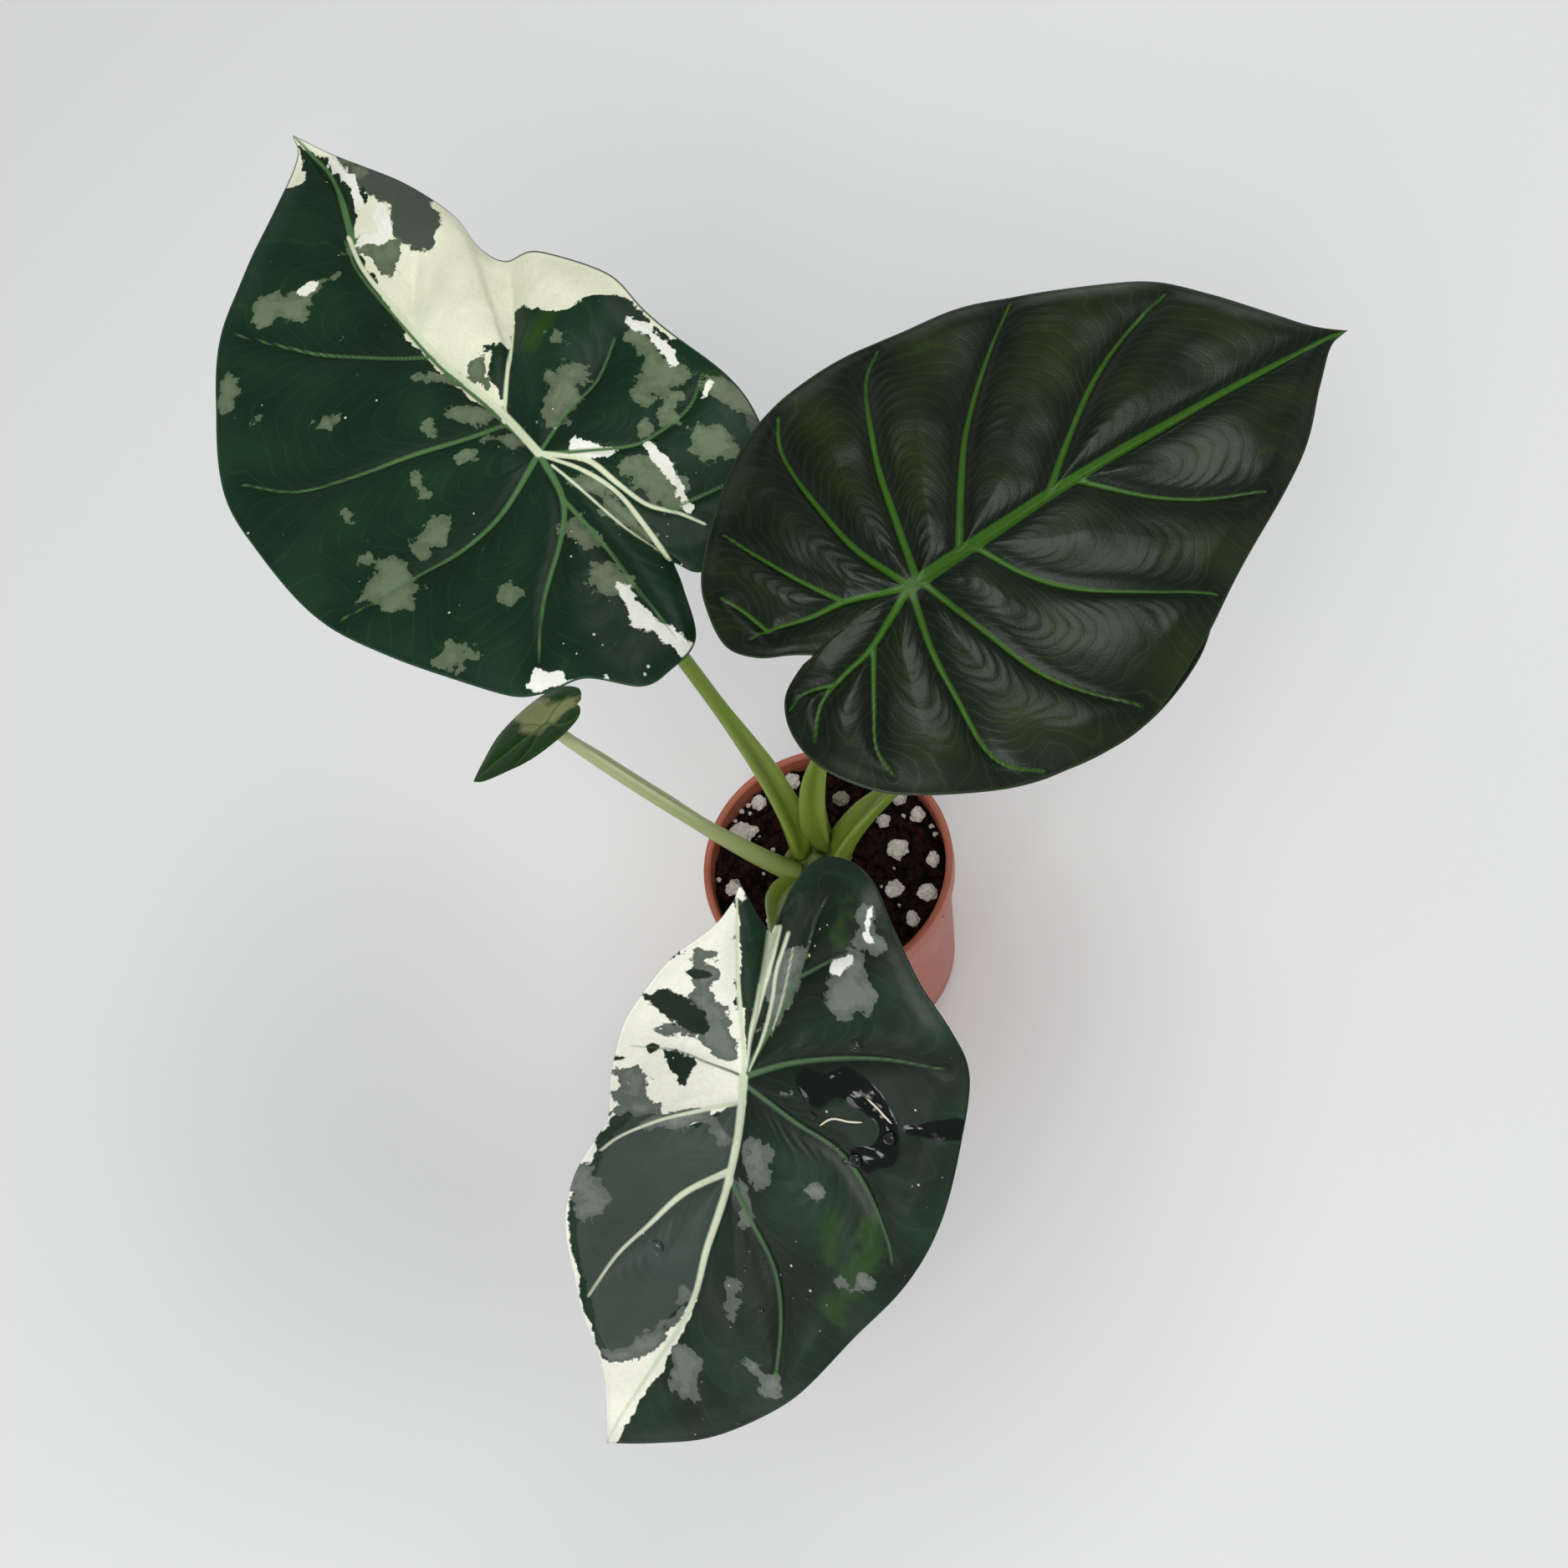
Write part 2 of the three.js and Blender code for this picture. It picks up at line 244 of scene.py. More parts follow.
# Blades: heading, pitch and bank turn each one, and its place comes from its CAD box. Margins
# are (across, along, lift) from where the stalk meets the blade. veins and ribs (the pale ones)
# are strokes, as are threads, blotches, islands (dark on cream), olives, whites and wets.
# creams and dusks (grey-green areas, and on the wet blade a painted sheen where light glances off it)
# are outlines. foot, start and reach lead the stalk from the crown to the blade. samples and rows count
# the mesh's points round it and out from its seat.
leaves = [
    dict(
        heading=105.5, pitch=-2, bank=0, foot=119, start=(5, 0, 90), reach=60,
        skin="variegated", samples=500, rows=96, veinInset=0.02,
        tip=(0, 193, -4), notch=(15, -58, -12),
        right=[(7, 170, 0), (20, 135, 4), (28, 111, 0), (29, 97, -6), (33, 84, -5), (43, 72, 4),
               (57, 48, 2), (60, 26, -2), (67, -12, -3), (67, -31, -7), (61, -47, -12),
               (48, -61, -16), (33, -67, -17), (20, -65, -15)],
        left=[(-4, 180, -2), (-23, 160, 0), (-64, 123, 0), (-83, 89, -1), (-95, 59, -1),
              (-96, 30, -1), (-92, -6, 1), (-80, -34, 0), (-57, -68, -4), (-45, -79, -2),
              (-32, -84, -1), (-19, -96, -5), (-8, -95, -8), (5, -89, -10), (12, -70, -11)],
        veins=[[1.3, 0.3, (-7, 126), (-1, 147), (2, 164), (1, 179), (0, 193)],
               [1.0, 0.4, (0, 0), (-4, 27), (-9, 55), (-11, 85), (-12, 111), (-9, 128)],
               [0.9, 0.3, (-8, 60), (-23, 71), (-38, 87), (-51, 104), (-61, 118)],
               [1.0, 0.3, (-3, 18), (-29, 26), (-55, 34), (-74, 43), (-88, 58)],
               [1.1, 0.3, (0, 0), (-21, -12), (-39, -16), (-57, -15), (-75, -15), (-86, -14)],
               [1.1, 0.4, (0, 0), (-3, -21), (-12, -35), (-28, -51), (-41, -69)],
               [0.8, 0.4, (-3, -21), (-1, -46), (-1, -66), (0, -87)],
               [0.8, 0.3, (0, 0), (17, 9), (31, 14), (45, 24)],
               [0.8, 0.3, (1, -1), (24, -16), (37, -18), (51, -16), (61, -8)],
               [0.7, 0.3, (24, -42), (38, -44), (52, -46)]],
        ribs=[[1.5, 0.7, (0, 0), (-2, 27), (-7, 55), (-9, 85), (-10, 111), (-7, 130)],
              [0.5, 0.2, (-8, 74), (1, 92), (9, 101)],
              [0.8, 0.2, (-3, 20), (16, 48), (25, 63), (33, 78)],
              [1.1, 0.5, (0, 0), (11, -12), (15, -26), (19, -37), (26, -45), (31, -53)]],
        creams=[[(-7, 128), (-10, 95), (-12, 66), (-9, 40), (-4, 23), (3, 27), (2, 37), (9, 47),
                 (13, 49), (14, 44), (24, 61), (28, 55), (31, 48), (38, 43), (46, 42), (55, 38),
                 (59, 27), (60, 14), (61, 4), (72, 10), (70, 50), (45, 90), (36, 120), (16, 160),
                 (0, 196), (-1, 188), (5, 168), (6, 156), (5, 145), (0, 136)],
                [(-1, 196), (-2, 176), (-8, 165), (-20, 170)]],
        blotches=[[3, 3, (53, 16), (50, 2)], [3, 2, (42, 2), (51, -4)], [2, 3, (48, -11), (42, -15)],
                  [2, 2, (27, 37), (29, 34)], [3, 2, (12, 150), (9, 165)],
                  [3.4, 3, (-6, 125), (-2, 114), (3, 111), (-4, 105)], [8, 6, (-44, 118), (-38, 112)],
                  [2.2, 1, (-34, 114), (-20, 114)], [3.5, 4, (-77, 92), (-73, 99)],
                  [8.5, 6, (-66, -12), (-65, -20)], [5, 2, (-48, -6), (-39, -3)],
                  [2, 2, (-39, 9), (-39, 16)], [2.4, 2, (-64, 20)], [2.5, 2, (-69, -1)],
                  [4.4, 3, (-36, -42)], [5, 4, (-64, -49), (-58, -52)],
                  [2, 4, (-16, 33), (-6, 27)], [1.5, 3, (-16, 53), (-7, 45)],
                  [2.2, 2, (-24, 32)], [2, 2, (-20, 14)], [2, 3, (-11, 16), (-3, 9)],
                  [3.5, 5, (-6, -33), (-5, -39)], [5, 4, (-9, -56), (-6, -61)],
                  [5, 6.5, (13, 10), (24, 20)], [2.4, 2, (28, 36)], [6, 7, (42, -3), (52, 0)],
                  [5, 5, (62, -15), (66, -26)], [6, 4, (48, -31), (53, -36)],
                  [3.4, 3, (51, 21)], [2, 2, (33, -14)], [6, 6, (24, -28), (28, -38)],
                  [2.6, 2.6, (6, -19), (13, -48)], [3, 3, (1, 46), (0, 38)],
                  [2, 2, (-52, 60)], [1.6, 1.6, (-30, 88)], [1.8, 1.4, (-70, 78)]],
        islands=[[1.8, 1.4, (10, 47), (10, 39), (4, 33), (3, 25)], [1.6, 1.2, (25, 57), (25, 52)],
                 [3, 2, (3, 150), (5, 140)], [4, 3, (60, 8), (66, -8)]],
        greysAndSheens=[[(7, 170), (18, 160), (30, 130), (25, 119), (21, 105), (14, 100), (8, 105),
                (6, 115), (11, 128), (9, 135), (7, 145), (6, 155)],
               [(64, -22), (72, -8), (72, -36), (60, -46), (62, -34)]],
        olives=[[3, 3, (22, 40), (30, 46)], [3, 2, (66, -2), (64, -14)]],
        whites=[[3, 2.4, (11, -8), (19, -15)], [1.6, 1.4, (31, -20), (31, -34), (30, -46)],
                [1.6, 2, (52, 26), (56, 21), (56, 6), (56, 1)], [1, 1, (56, -17), (61, -13)],
                [1.4, 1, (5, 167), (6, 151), (3, 138)], [1.8, 3.2, (-5, -63), (-6, -74),
                 (-3, -83), (1, -92)], [3.5, 2, (-44, -75), (-39, -78)],
                [1.2, 1, (-44, -72), (-40, -78), (-34, -85), (-27, -89)],
                [2.0, 2.6, (8, 130), (4, 119), (-4, 124)], [1.2, 1, (-33, 116), (-27, 115)]],
        threads=[[0.6, 0.9, (1, -2), (8, -16), (13, -29), (14, -42), (14, -57)],
                 [0.3, 0.4, (1, -7), (4, -24), (8, -42), (13, -54)]],
    ),
    dict(
        heading=17, pitch=-10, bank=0, foot=54, start=(0, 0, 120), reach=60,
        skin="green", samples=500, rows=96,
        tip=(-3, 185, -6), notch=(2, -37, -3),
        right=[(-2, 176, -6), (9, 161, -6), (28, 136, -7), (50, 91, -8), (65, 62, -9),
               (76, 29, -10), (73, -2, -11), (63, -27, -10), (51, -45, -9), (36, -56, -8),
               (21, -58, -7), (9, -53, -6), (3, -43, -4)],
        left=[(-14, 172, -4), (-42, 158, -6), (-65, 139, -8), (-84, 95, -7), (-90, 65, -8),
              (-93, 39, -8), (-89, 12, -8), (-78, -12, -8), (-60, -33, -7), (-44, -48, -7),
              (-31, -54, -7), (-18, -56, -7), (-9, -51, -6), (-3, -43, -4)],
        veins=[[2.6, 0.5, (0, 0), (-1, 22), (-4, 61), (-5, 88), (-5, 126), (-5, 154),
                (-4, 179), (-3, 185)],
               [1.2, 0.4, (-3, 21), (-23, 37), (-41, 53), (-61, 76), (-79, 101)],
               [1.1, 0.4, (-4, 57), (-18, 76), (-34, 100), (-44, 121), (-51, 145)],
               [1.2, 0.4, (0, 3), (-27, 13), (-50, 23), (-77, 39), (-88, 52)],
               [1.2, 0.4, (0, 0), (-23, -5), (-45, -4), (-69, 0), (-83, 8)],
               [1.2, 0.5, (0, 0), (-3, -8), (-8, -19), (-10, -31), (-14, -43), (-15, -49)],
               [0.8, 0.4, (-8, -19), (-24, -26), (-40, -31), (-52, -34)],
               [0.6, 0.3, (-14, -43), (-25, -45), (-33, -48)],
               [1.2, 0.4, (0, 0), (10, -21), (13, -34), (17, -45), (26, -54)],
               [0.8, 0.4, (10, -21), (27, -33), (38, -40), (48, -41)],
               [0.6, 0.3, (14, -38), (11, -47), (13, -54)],
               [1.1, 0.4, (0, 0), (22, -8), (39, -11), (55, -13), (64, -10), (71, -2)],
               [1.2, 0.4, (1, 4), (25, 9), (44, 15), (58, 24), (70, 35)],
               [1.1, 0.4, (-1, 25), (16, 33), (29, 44), (41, 60), (53, 79)],
               [1.0, 0.4, (-4, 68), (12, 83), (23, 98), (32, 117)]],
    ),
    dict(
        heading=216.5, pitch=-45, bank=0, foot=250, start=(-34, -16, 64), reach=55,
        skin="wet", samples=500, rows=96, veinInset=0.12,
        tip=(0, 162, 0), notch=(6, -52, 4),
        right=[(7, 140, 2), (13, 121, 6), (23, 101, 13), (32, 74, 20), (33, 54, 23),
               (31, 39, 24), (28, 24, 24), (31, 9, 24), (33, -8, 24), (30, -24, 24),
               (26, -38, 22), (18, -53, 20), (15, -63, 20), (13, -71, 22), (9, -60, 12)],
        left=[(-17, 149, -2), (-38, 127, -3), (-54, 98, -3), (-64, 64, -4), (-72, 36, -5),
              (-74, 9, -6), (-70, -17, -7), (-64, -39, -7), (-54, -51, -5), (-39, -61, -4),
              (-27, -72, -3), (-17, -82, -3), (-7, -84, -4), (3, -79, -4), (7, -68, -1)],
        veins=[[1.0, 0.4, (0, 0), (-11, -12), (-26, -24), (-41, -33), (-57, -39)],
               [1.0, 0.3, (0, 2), (-20, 4), (-36, 5), (-50, 12), (-61, 23), (-66, 31)],
               [1.1, 0.4, (-9, 36), (-20, 46), (-33, 59), (-41, 74), (-47, 95)],
               [0.9, 0.3, (0, 0), (-4, -35), (-4, -47), (-3, -61), (-5, -73)],
               [0.7, 0.3, (-5, -41), (-15, -55), (-25, -66)],
               [0.7, 0.3, (0, 0), (11, 1), (20, -1), (30, -2)]],
        ribs=[[1.6, 0.4, (0, 0), (-4, 15), (-8, 38), (-9, 63), (-10, 84), (-8, 107), (-2, 142),
               (0, 162)],
              [0.9, 0.3, (-3, 8), (10, 20), (19, 27), (26, 34), (29, 40)],
              [1.1, 0.3, (-7, 33), (5, 51), (12, 69), (17, 83), (20, 101)],
              [0.7, 0.3, (0, 0), (8, -24), (12, -47), (14, -67)]],
        creams=[[(40, -5), (40, -45), (24, -75), (13, -75), (12, -58), (7, -25), (0, -1),
                 (-1, 11), (9, 24), (17, 29), (22, 24), (23, 13), (28, 4)],
                [(28, 2), (25, 15), (30, 33), (31, 50), (33, 63), (30, 79), (22, 101), (14, 117),
                 (10, 126), (6, 125), (-2, 116), (-8, 93), (-11, 81), (-11, 97), (-9, 120),
                 (-5, 141), (-3, 170), (30, 150), (60, 60), (50, 10)]],
        blotches=[[4, 4, (26, 9), (23, 20)], [2.4, 2.4, (20, 28), (14, 23), (3, 20), (-2, 24)],
                  [3.4, 3, (32, 50), (29, 60), (29, 69)],
                  [2.6, 2.2, (8, 123), (0, 116), (-7, 99), (-7, 87)],
                  [3, 3, (20, -42), (18, -32), (13, -18), (8, -7)], [4, 3, (17, -24), (12, -10)],
                  [3, 2, (23, -9), (12, -15)], [8, 5, (-22, -46), (-20, -54)],
                  [5, 3, (-21, -66), (-19, -75)], [5, 4, (-14, 20), (-18, 27)],
                  [3, 3, (-13, 36), (-18, 46)], [3, 2.4, (-22, 70), (-26, 82)],
                  [6, 5, (-16, 112), (-20, 120)], [3.4, 4, (-38, 94), (-45, 98)],
                  [3, 4, (-3, -20), (-1, -45)], [2.6, 2, (-35, 20)], [3, 2.4, (-62, 41)],
                  [2.4, 2, (-55, 46)], [4, 3, (28, 60), (28, 68)], [2, 1.4, (-14, -4)]],
        islands=[[4.5, 4, (24, -21), (20, -17), (18, -14)], [2.4, 2.4, (20, -34)],
                 [1.4, 2, (25, -2), (20, 1), (16, 5)], [2, 1.4, (16, 5), (14, 9)],
                 [1.4, 1, (13, -64), (10, -50), (9, -36), (8, -26)], [3, 3, (31, -38), (25, -50)]],
        whites=[[3, 1.6, (-15, -51), (-17, -55)], [0.9, 1.4, (-19, -76), (-21, -66)]],
        threads=[[0.3, 0.8, (0, -2), (2, -14), (3, -27), (4, -40), (6, -54)],
                 [0.2, 0.6, (-1, -3), (-1, -17), (0, -30), (2, -41), (3, -53)],
                 [0.2, 0.3, (-3, -20), (-2, -37), (0, -49)]],
        # painted sheen: this grey-green area stands for light glancing off the tilted blade
        greysAndSheens=[[(-2, 8), (-7, 35), (-10, 66), (-12, 84), (-6, 96), (-2, 114), (6, 124),
                (14, 112), (21, 98), (28, 79), (31, 63), (29, 50), (27, 34), (23, 18),
                (15, 28), (8, 24)]],
        olives=[[3, 2, (-12, -70), (-13, -58)], [3, 4, (-55, 20), (-58, 34), (-56, 56)],
                [2, 2, (-45, 24), (-48, 40)]],
        wets=[[5, 5, (-23, -12), (-32, -19), (-41, -18)], [5, 4, (-41, -18), (-48, -12),
              (-50, -3)], [3, 3, (-50, -3), (-44, 4)], [2.2, 3.6, (-54, -15), (-66, -23)]],
    ),
    dict(
        heading=185, pitch=-21, bank=22, foot=183, start=(-25, 14, 22), reach=14,
        skin="young", samples=160, rows=40, sheath=(0.3, 0.55, 0.75, 0.95), wing=0.5,
        tip=(1, 41, -3), notch=(1, -14, -1),
        right=[(6, 35, -2), (16, 24, -2), (22, 8, -3), (20, -6, -3), (12, -15, -3), (4, -16, -2)],
        left=[(-4, 35, -2), (-10, 22, 0), (-14, 8, 1), (-13, -6, 1), (-9, -15, 1), (-3, -16, 0)],
        veins=[[0.8, 0.2, (0, 0), (0, 20), (0, 40)], [0.4, 0.2, (0, 2), (8, 10), (12, 18)],
               [0.4, 0.2, (0, 2), (-8, 10), (-11, 18)], [0.4, 0.2, (0, 0), (8, -8), (9, -16)],
               [0.4, 0.2, (0, 0), (-8, -8), (-9, -16)]],
        creams=[[(24, 16), (6, 13), (-3, 4), (-2, -14), (6, -16), (9, -2), (24, 4)]],
    ),
    dict(
        heading=14, pitch=-8, bank=0, foot=348, start=(10, 0, 50), reach=45,
        skin="green", samples=240, rows=60,
        tip=(0, 112, -6), notch=(0, -22, -2),
        right=[(5, 103, -4), (18, 84, -3), (35, 62, -4), (45, 36, -5), (47, 10, -6),
               (42, -13, -6), (31, -30, -6), (18, -36, -5), (6, -32, -4)],
        left=[(-5, 103, -4), (-18, 87, -3), (-34, 63, -3), (-44, 37, -4), (-47, 11, -5),
              (-42, -12, -5), (-31, -29, -5), (-18, -35, -5), (-6, -30, -4)],
        veins=[[1.5, 0.3, (0, 0), (0, 60), (0, 112)],
               *bothSides([[0.8, 0.3, (0, 2), (22, 14), (40, 36)],
                           [0.8, 0.3, (0, 28), (16, 46), (27, 68)],
                           [0.8, 0.3, (0, 0), (24, -6), (43, -4)],
                           [0.8, 0.3, (0, 0), (12, -18), (20, -33)],
                           [0.6, 0.3, (0, 58), (9, 74), (14, 88)]])],
    ),
]

# How each kind of blade is shaped, in mm: the quilting between its veins, the sunk veins,
# the ripples that cross from vein to vein, and the thickness at the margin and at a vein
reliefs = dict(
    variegated=dict(pillow=2.0, groove=0.8, ripple=0.06, rippleGap=7, waves=2.2, bow=12,
                    stray=2),
    wet=dict(pillow=2.6, groove=0.9, ripple=0.07, rippleGap=6, waves=3.2, bow=12, stray=2),
    green=dict(pillow=3.2, groove=0.9, ripple=0.07, rippleGap=5.2, waves=2.4, bow=10, stray=3),
    young=dict(pillow=0.8, groove=0.4, ripple=0.03, rippleGap=5, waves=0.5, bow=6, stray=2),
)
bladeThin = 0.5
bladeThick = 2.1
cadHalfBlade = 0.6
leastTurn = 0.0008         # radians from one point of a margin to the next, at the least
sunk = dict(vein=2.2, lane=5.5, pillow=7, blunt=3.5)       # half widths beside a vein
drifts = dict(slow=34, patch=17, mid=11, flow=4)           # sizes of the uneven swells
rimCurl = dict(drop=0.6, within=6)     # the margin turns down a little
fades = dict(root=14, edge=12)         # the relief fades over these at the seat and the margin
pools = dict(ragged=3, depth=0.5, uneven=0.3)              # water lying on a blade


def bladeAxes(leaf):
    turn = (Matrix.Rotation(math.radians(leaf["heading"] - 90), 3, "Z")
            @ Matrix.Rotation(math.radians(leaf["pitch"]), 3, "X")
            @ Matrix.Rotation(math.radians(leaf["bank"]), 3, "Y"))
    return np.array(turn).T        # rows: across, along, out of the top face


def bladeMargin(leaf):
    half = leaf["samples"] // 2
    right = evenLine([leaf["notch"], *leaf["right"][::-1], leaf["tip"]], half)
    left = evenLine([leaf["notch"], *leaf["left"][::-1], leaf["tip"]], half)
    margin = np.vstack([right, left[::-1][1:]])
    # each point lies further round the seat than the one before it, so no face folds over
    step = leastTurn * np.arange(len(margin))
    angles = np.unwrap(np.arctan2(margin[:, 1], margin[:, 0]))
    angles = np.maximum.accumulate(angles - step) + step
    angles = np.minimum(angles, angles[0] + 2 * math.pi - step[-1] + step)
    size = np.linalg.norm(margin[:, :2], axis=1)
    return np.column_stack([size * np.cos(angles), size * np.sin(angles), margin[:, 2]])


# Where the stalk meets the blade: the plain blade is laid on its CAD box
def bladeSeat(number, leaf):
    margin = bladeMargin(leaf)
    shares = np.linspace(0, 1, 12)[:, None, None]
    plain = margin[None] * np.concatenate([shares, shares, shares ** 2], axis=2)
    plain = plain.reshape(-1, 3) @ bladeAxes(leaf)
    centre = (plain.min(0) + plain.max(0)) / 2
    return boxCentre(f"leaf_blade_{number}") - centre


def bladeShape(number, leaf):
    margin = bladeMargin(leaf)
    relief = reliefs[leaf["skin"]]
    axes, seat = bladeAxes(leaf), bladeSeat(number, leaf)
    lines = leaf["veins"] + leaf.get("ribs", [])

    def shape(turn, out):
        edge = margin[np.round(turn * leaf["samples"]).astype(int) % leaf["samples"]]
        flat = edge[:, :2] * out[:, None]
        lift = edge[:, 2] * out ** 2 + cadHalfBlade
        size = np.linalg.norm(edge[:, :2], axis=1)
        edgeGap = (1 - out) * size
        # how near the closest vein is, and how far out along the veins around it each point lies
        near = np.full(len(flat), 1e9)
        run, weights = np.zeros(len(flat)), np.zeros(len(flat))
        for wide, narrow, *line in lines:
            reach, along, whole = lineReach(flat, smoothLine(line, 5))
            near = np.minimum(near, reach + sunk["blunt"] * (along / whole) ** 6)
            weight = (reach + 1) ** -3
            run += weight * (along + np.linalg.norm(line[0]))
            weights += weight
        run /= weights
        lane = 1 - np.exp(-(near / sunk["lane"]) ** 2)
        spots = np.column_stack([flat, np.zeros(len(flat))])
        slow = noiseField(spots, drifts["slow"], number)
        mid = noiseField(spots, drifts["mid"], number + 3)
        patchy = softStep(-0.35, 0.35, noiseField(spots, drifts["patch"], number + 6))
        veinlet = run - relief["bow"] * lane + relief["stray"] * mid
        rootFade = softStep(0, fades["root"], out * size)
        edgeFade = softStep(0, fades["edge"], edgeGap)
        onVein = np.exp(-(near / sunk["vein"]) ** 2)
        height = relief["pillow"] * (1 - np.exp(-near / sunk["pillow"])) * (0.35 + 0.65 * edgeFade)
        height -= relief["groove"] * onVein * (0.3 + 0.7 * edgeFade)
        height += (relief["ripple"] * np.sin(2 * math.pi * veinlet / relief["rippleGap"])
                   * softStep(1, 5, near) * edgeFade * (0.2 + 1.1 * patchy))
        height += 0.5 * mid * softStep(2, 8, near) * edgeFade
        height += relief["waves"] * slow * softStep(4, 30, out * size)
        height = height * rootFade
        height -= rimCurl["drop"] * softStep(rimCurl["within"], 0, edgeGap)
        pool = strokesGap(flat, leaf.get("wets", [])) + pools["ragged"] * mid
        if leaf.get("wets"):
            flow = noiseField(spots, drifts["flow"], number + 9)
            height *= 1 - 0.6 * softStep(-1, 2, pool)
            height += (pools["depth"] + pools["uneven"] * flow) * softStep(-0.6, 1.4, pool)
        local = np.column_stack([flat, lift + height])
        fields = dict(
            place=local * mm,
            veinGap=strokesGap(flat, leaf["veins"]) - leaf.get("veinInset", 0),
            ribGap=strokesGap(flat, leaf.get("ribs", []) + leaf.get("threads", [])),
            creamGap=outlinesGap(flat, leaf.get("creams", [])),
            greyAndSheenGap=outlinesGap(flat, leaf.get("greysAndSheens", [])),
            oliveGap=strokesGap(flat, leaf.get("olives", [])),
            blotchGap=strokesGap(flat, leaf.get("blotches", [])),
            islandGap=strokesGap(flat, leaf.get("islands", [])),
            whiteGap=strokesGap(flat, leaf.get("whites", [])),
            wetGap=pool, veinlet=veinlet, edgeGap=edgeGap,
            thick=onVein * (0.25 + 0.75 * edgeFade),
        )
        return seat + local @ axes, fields

    return shape
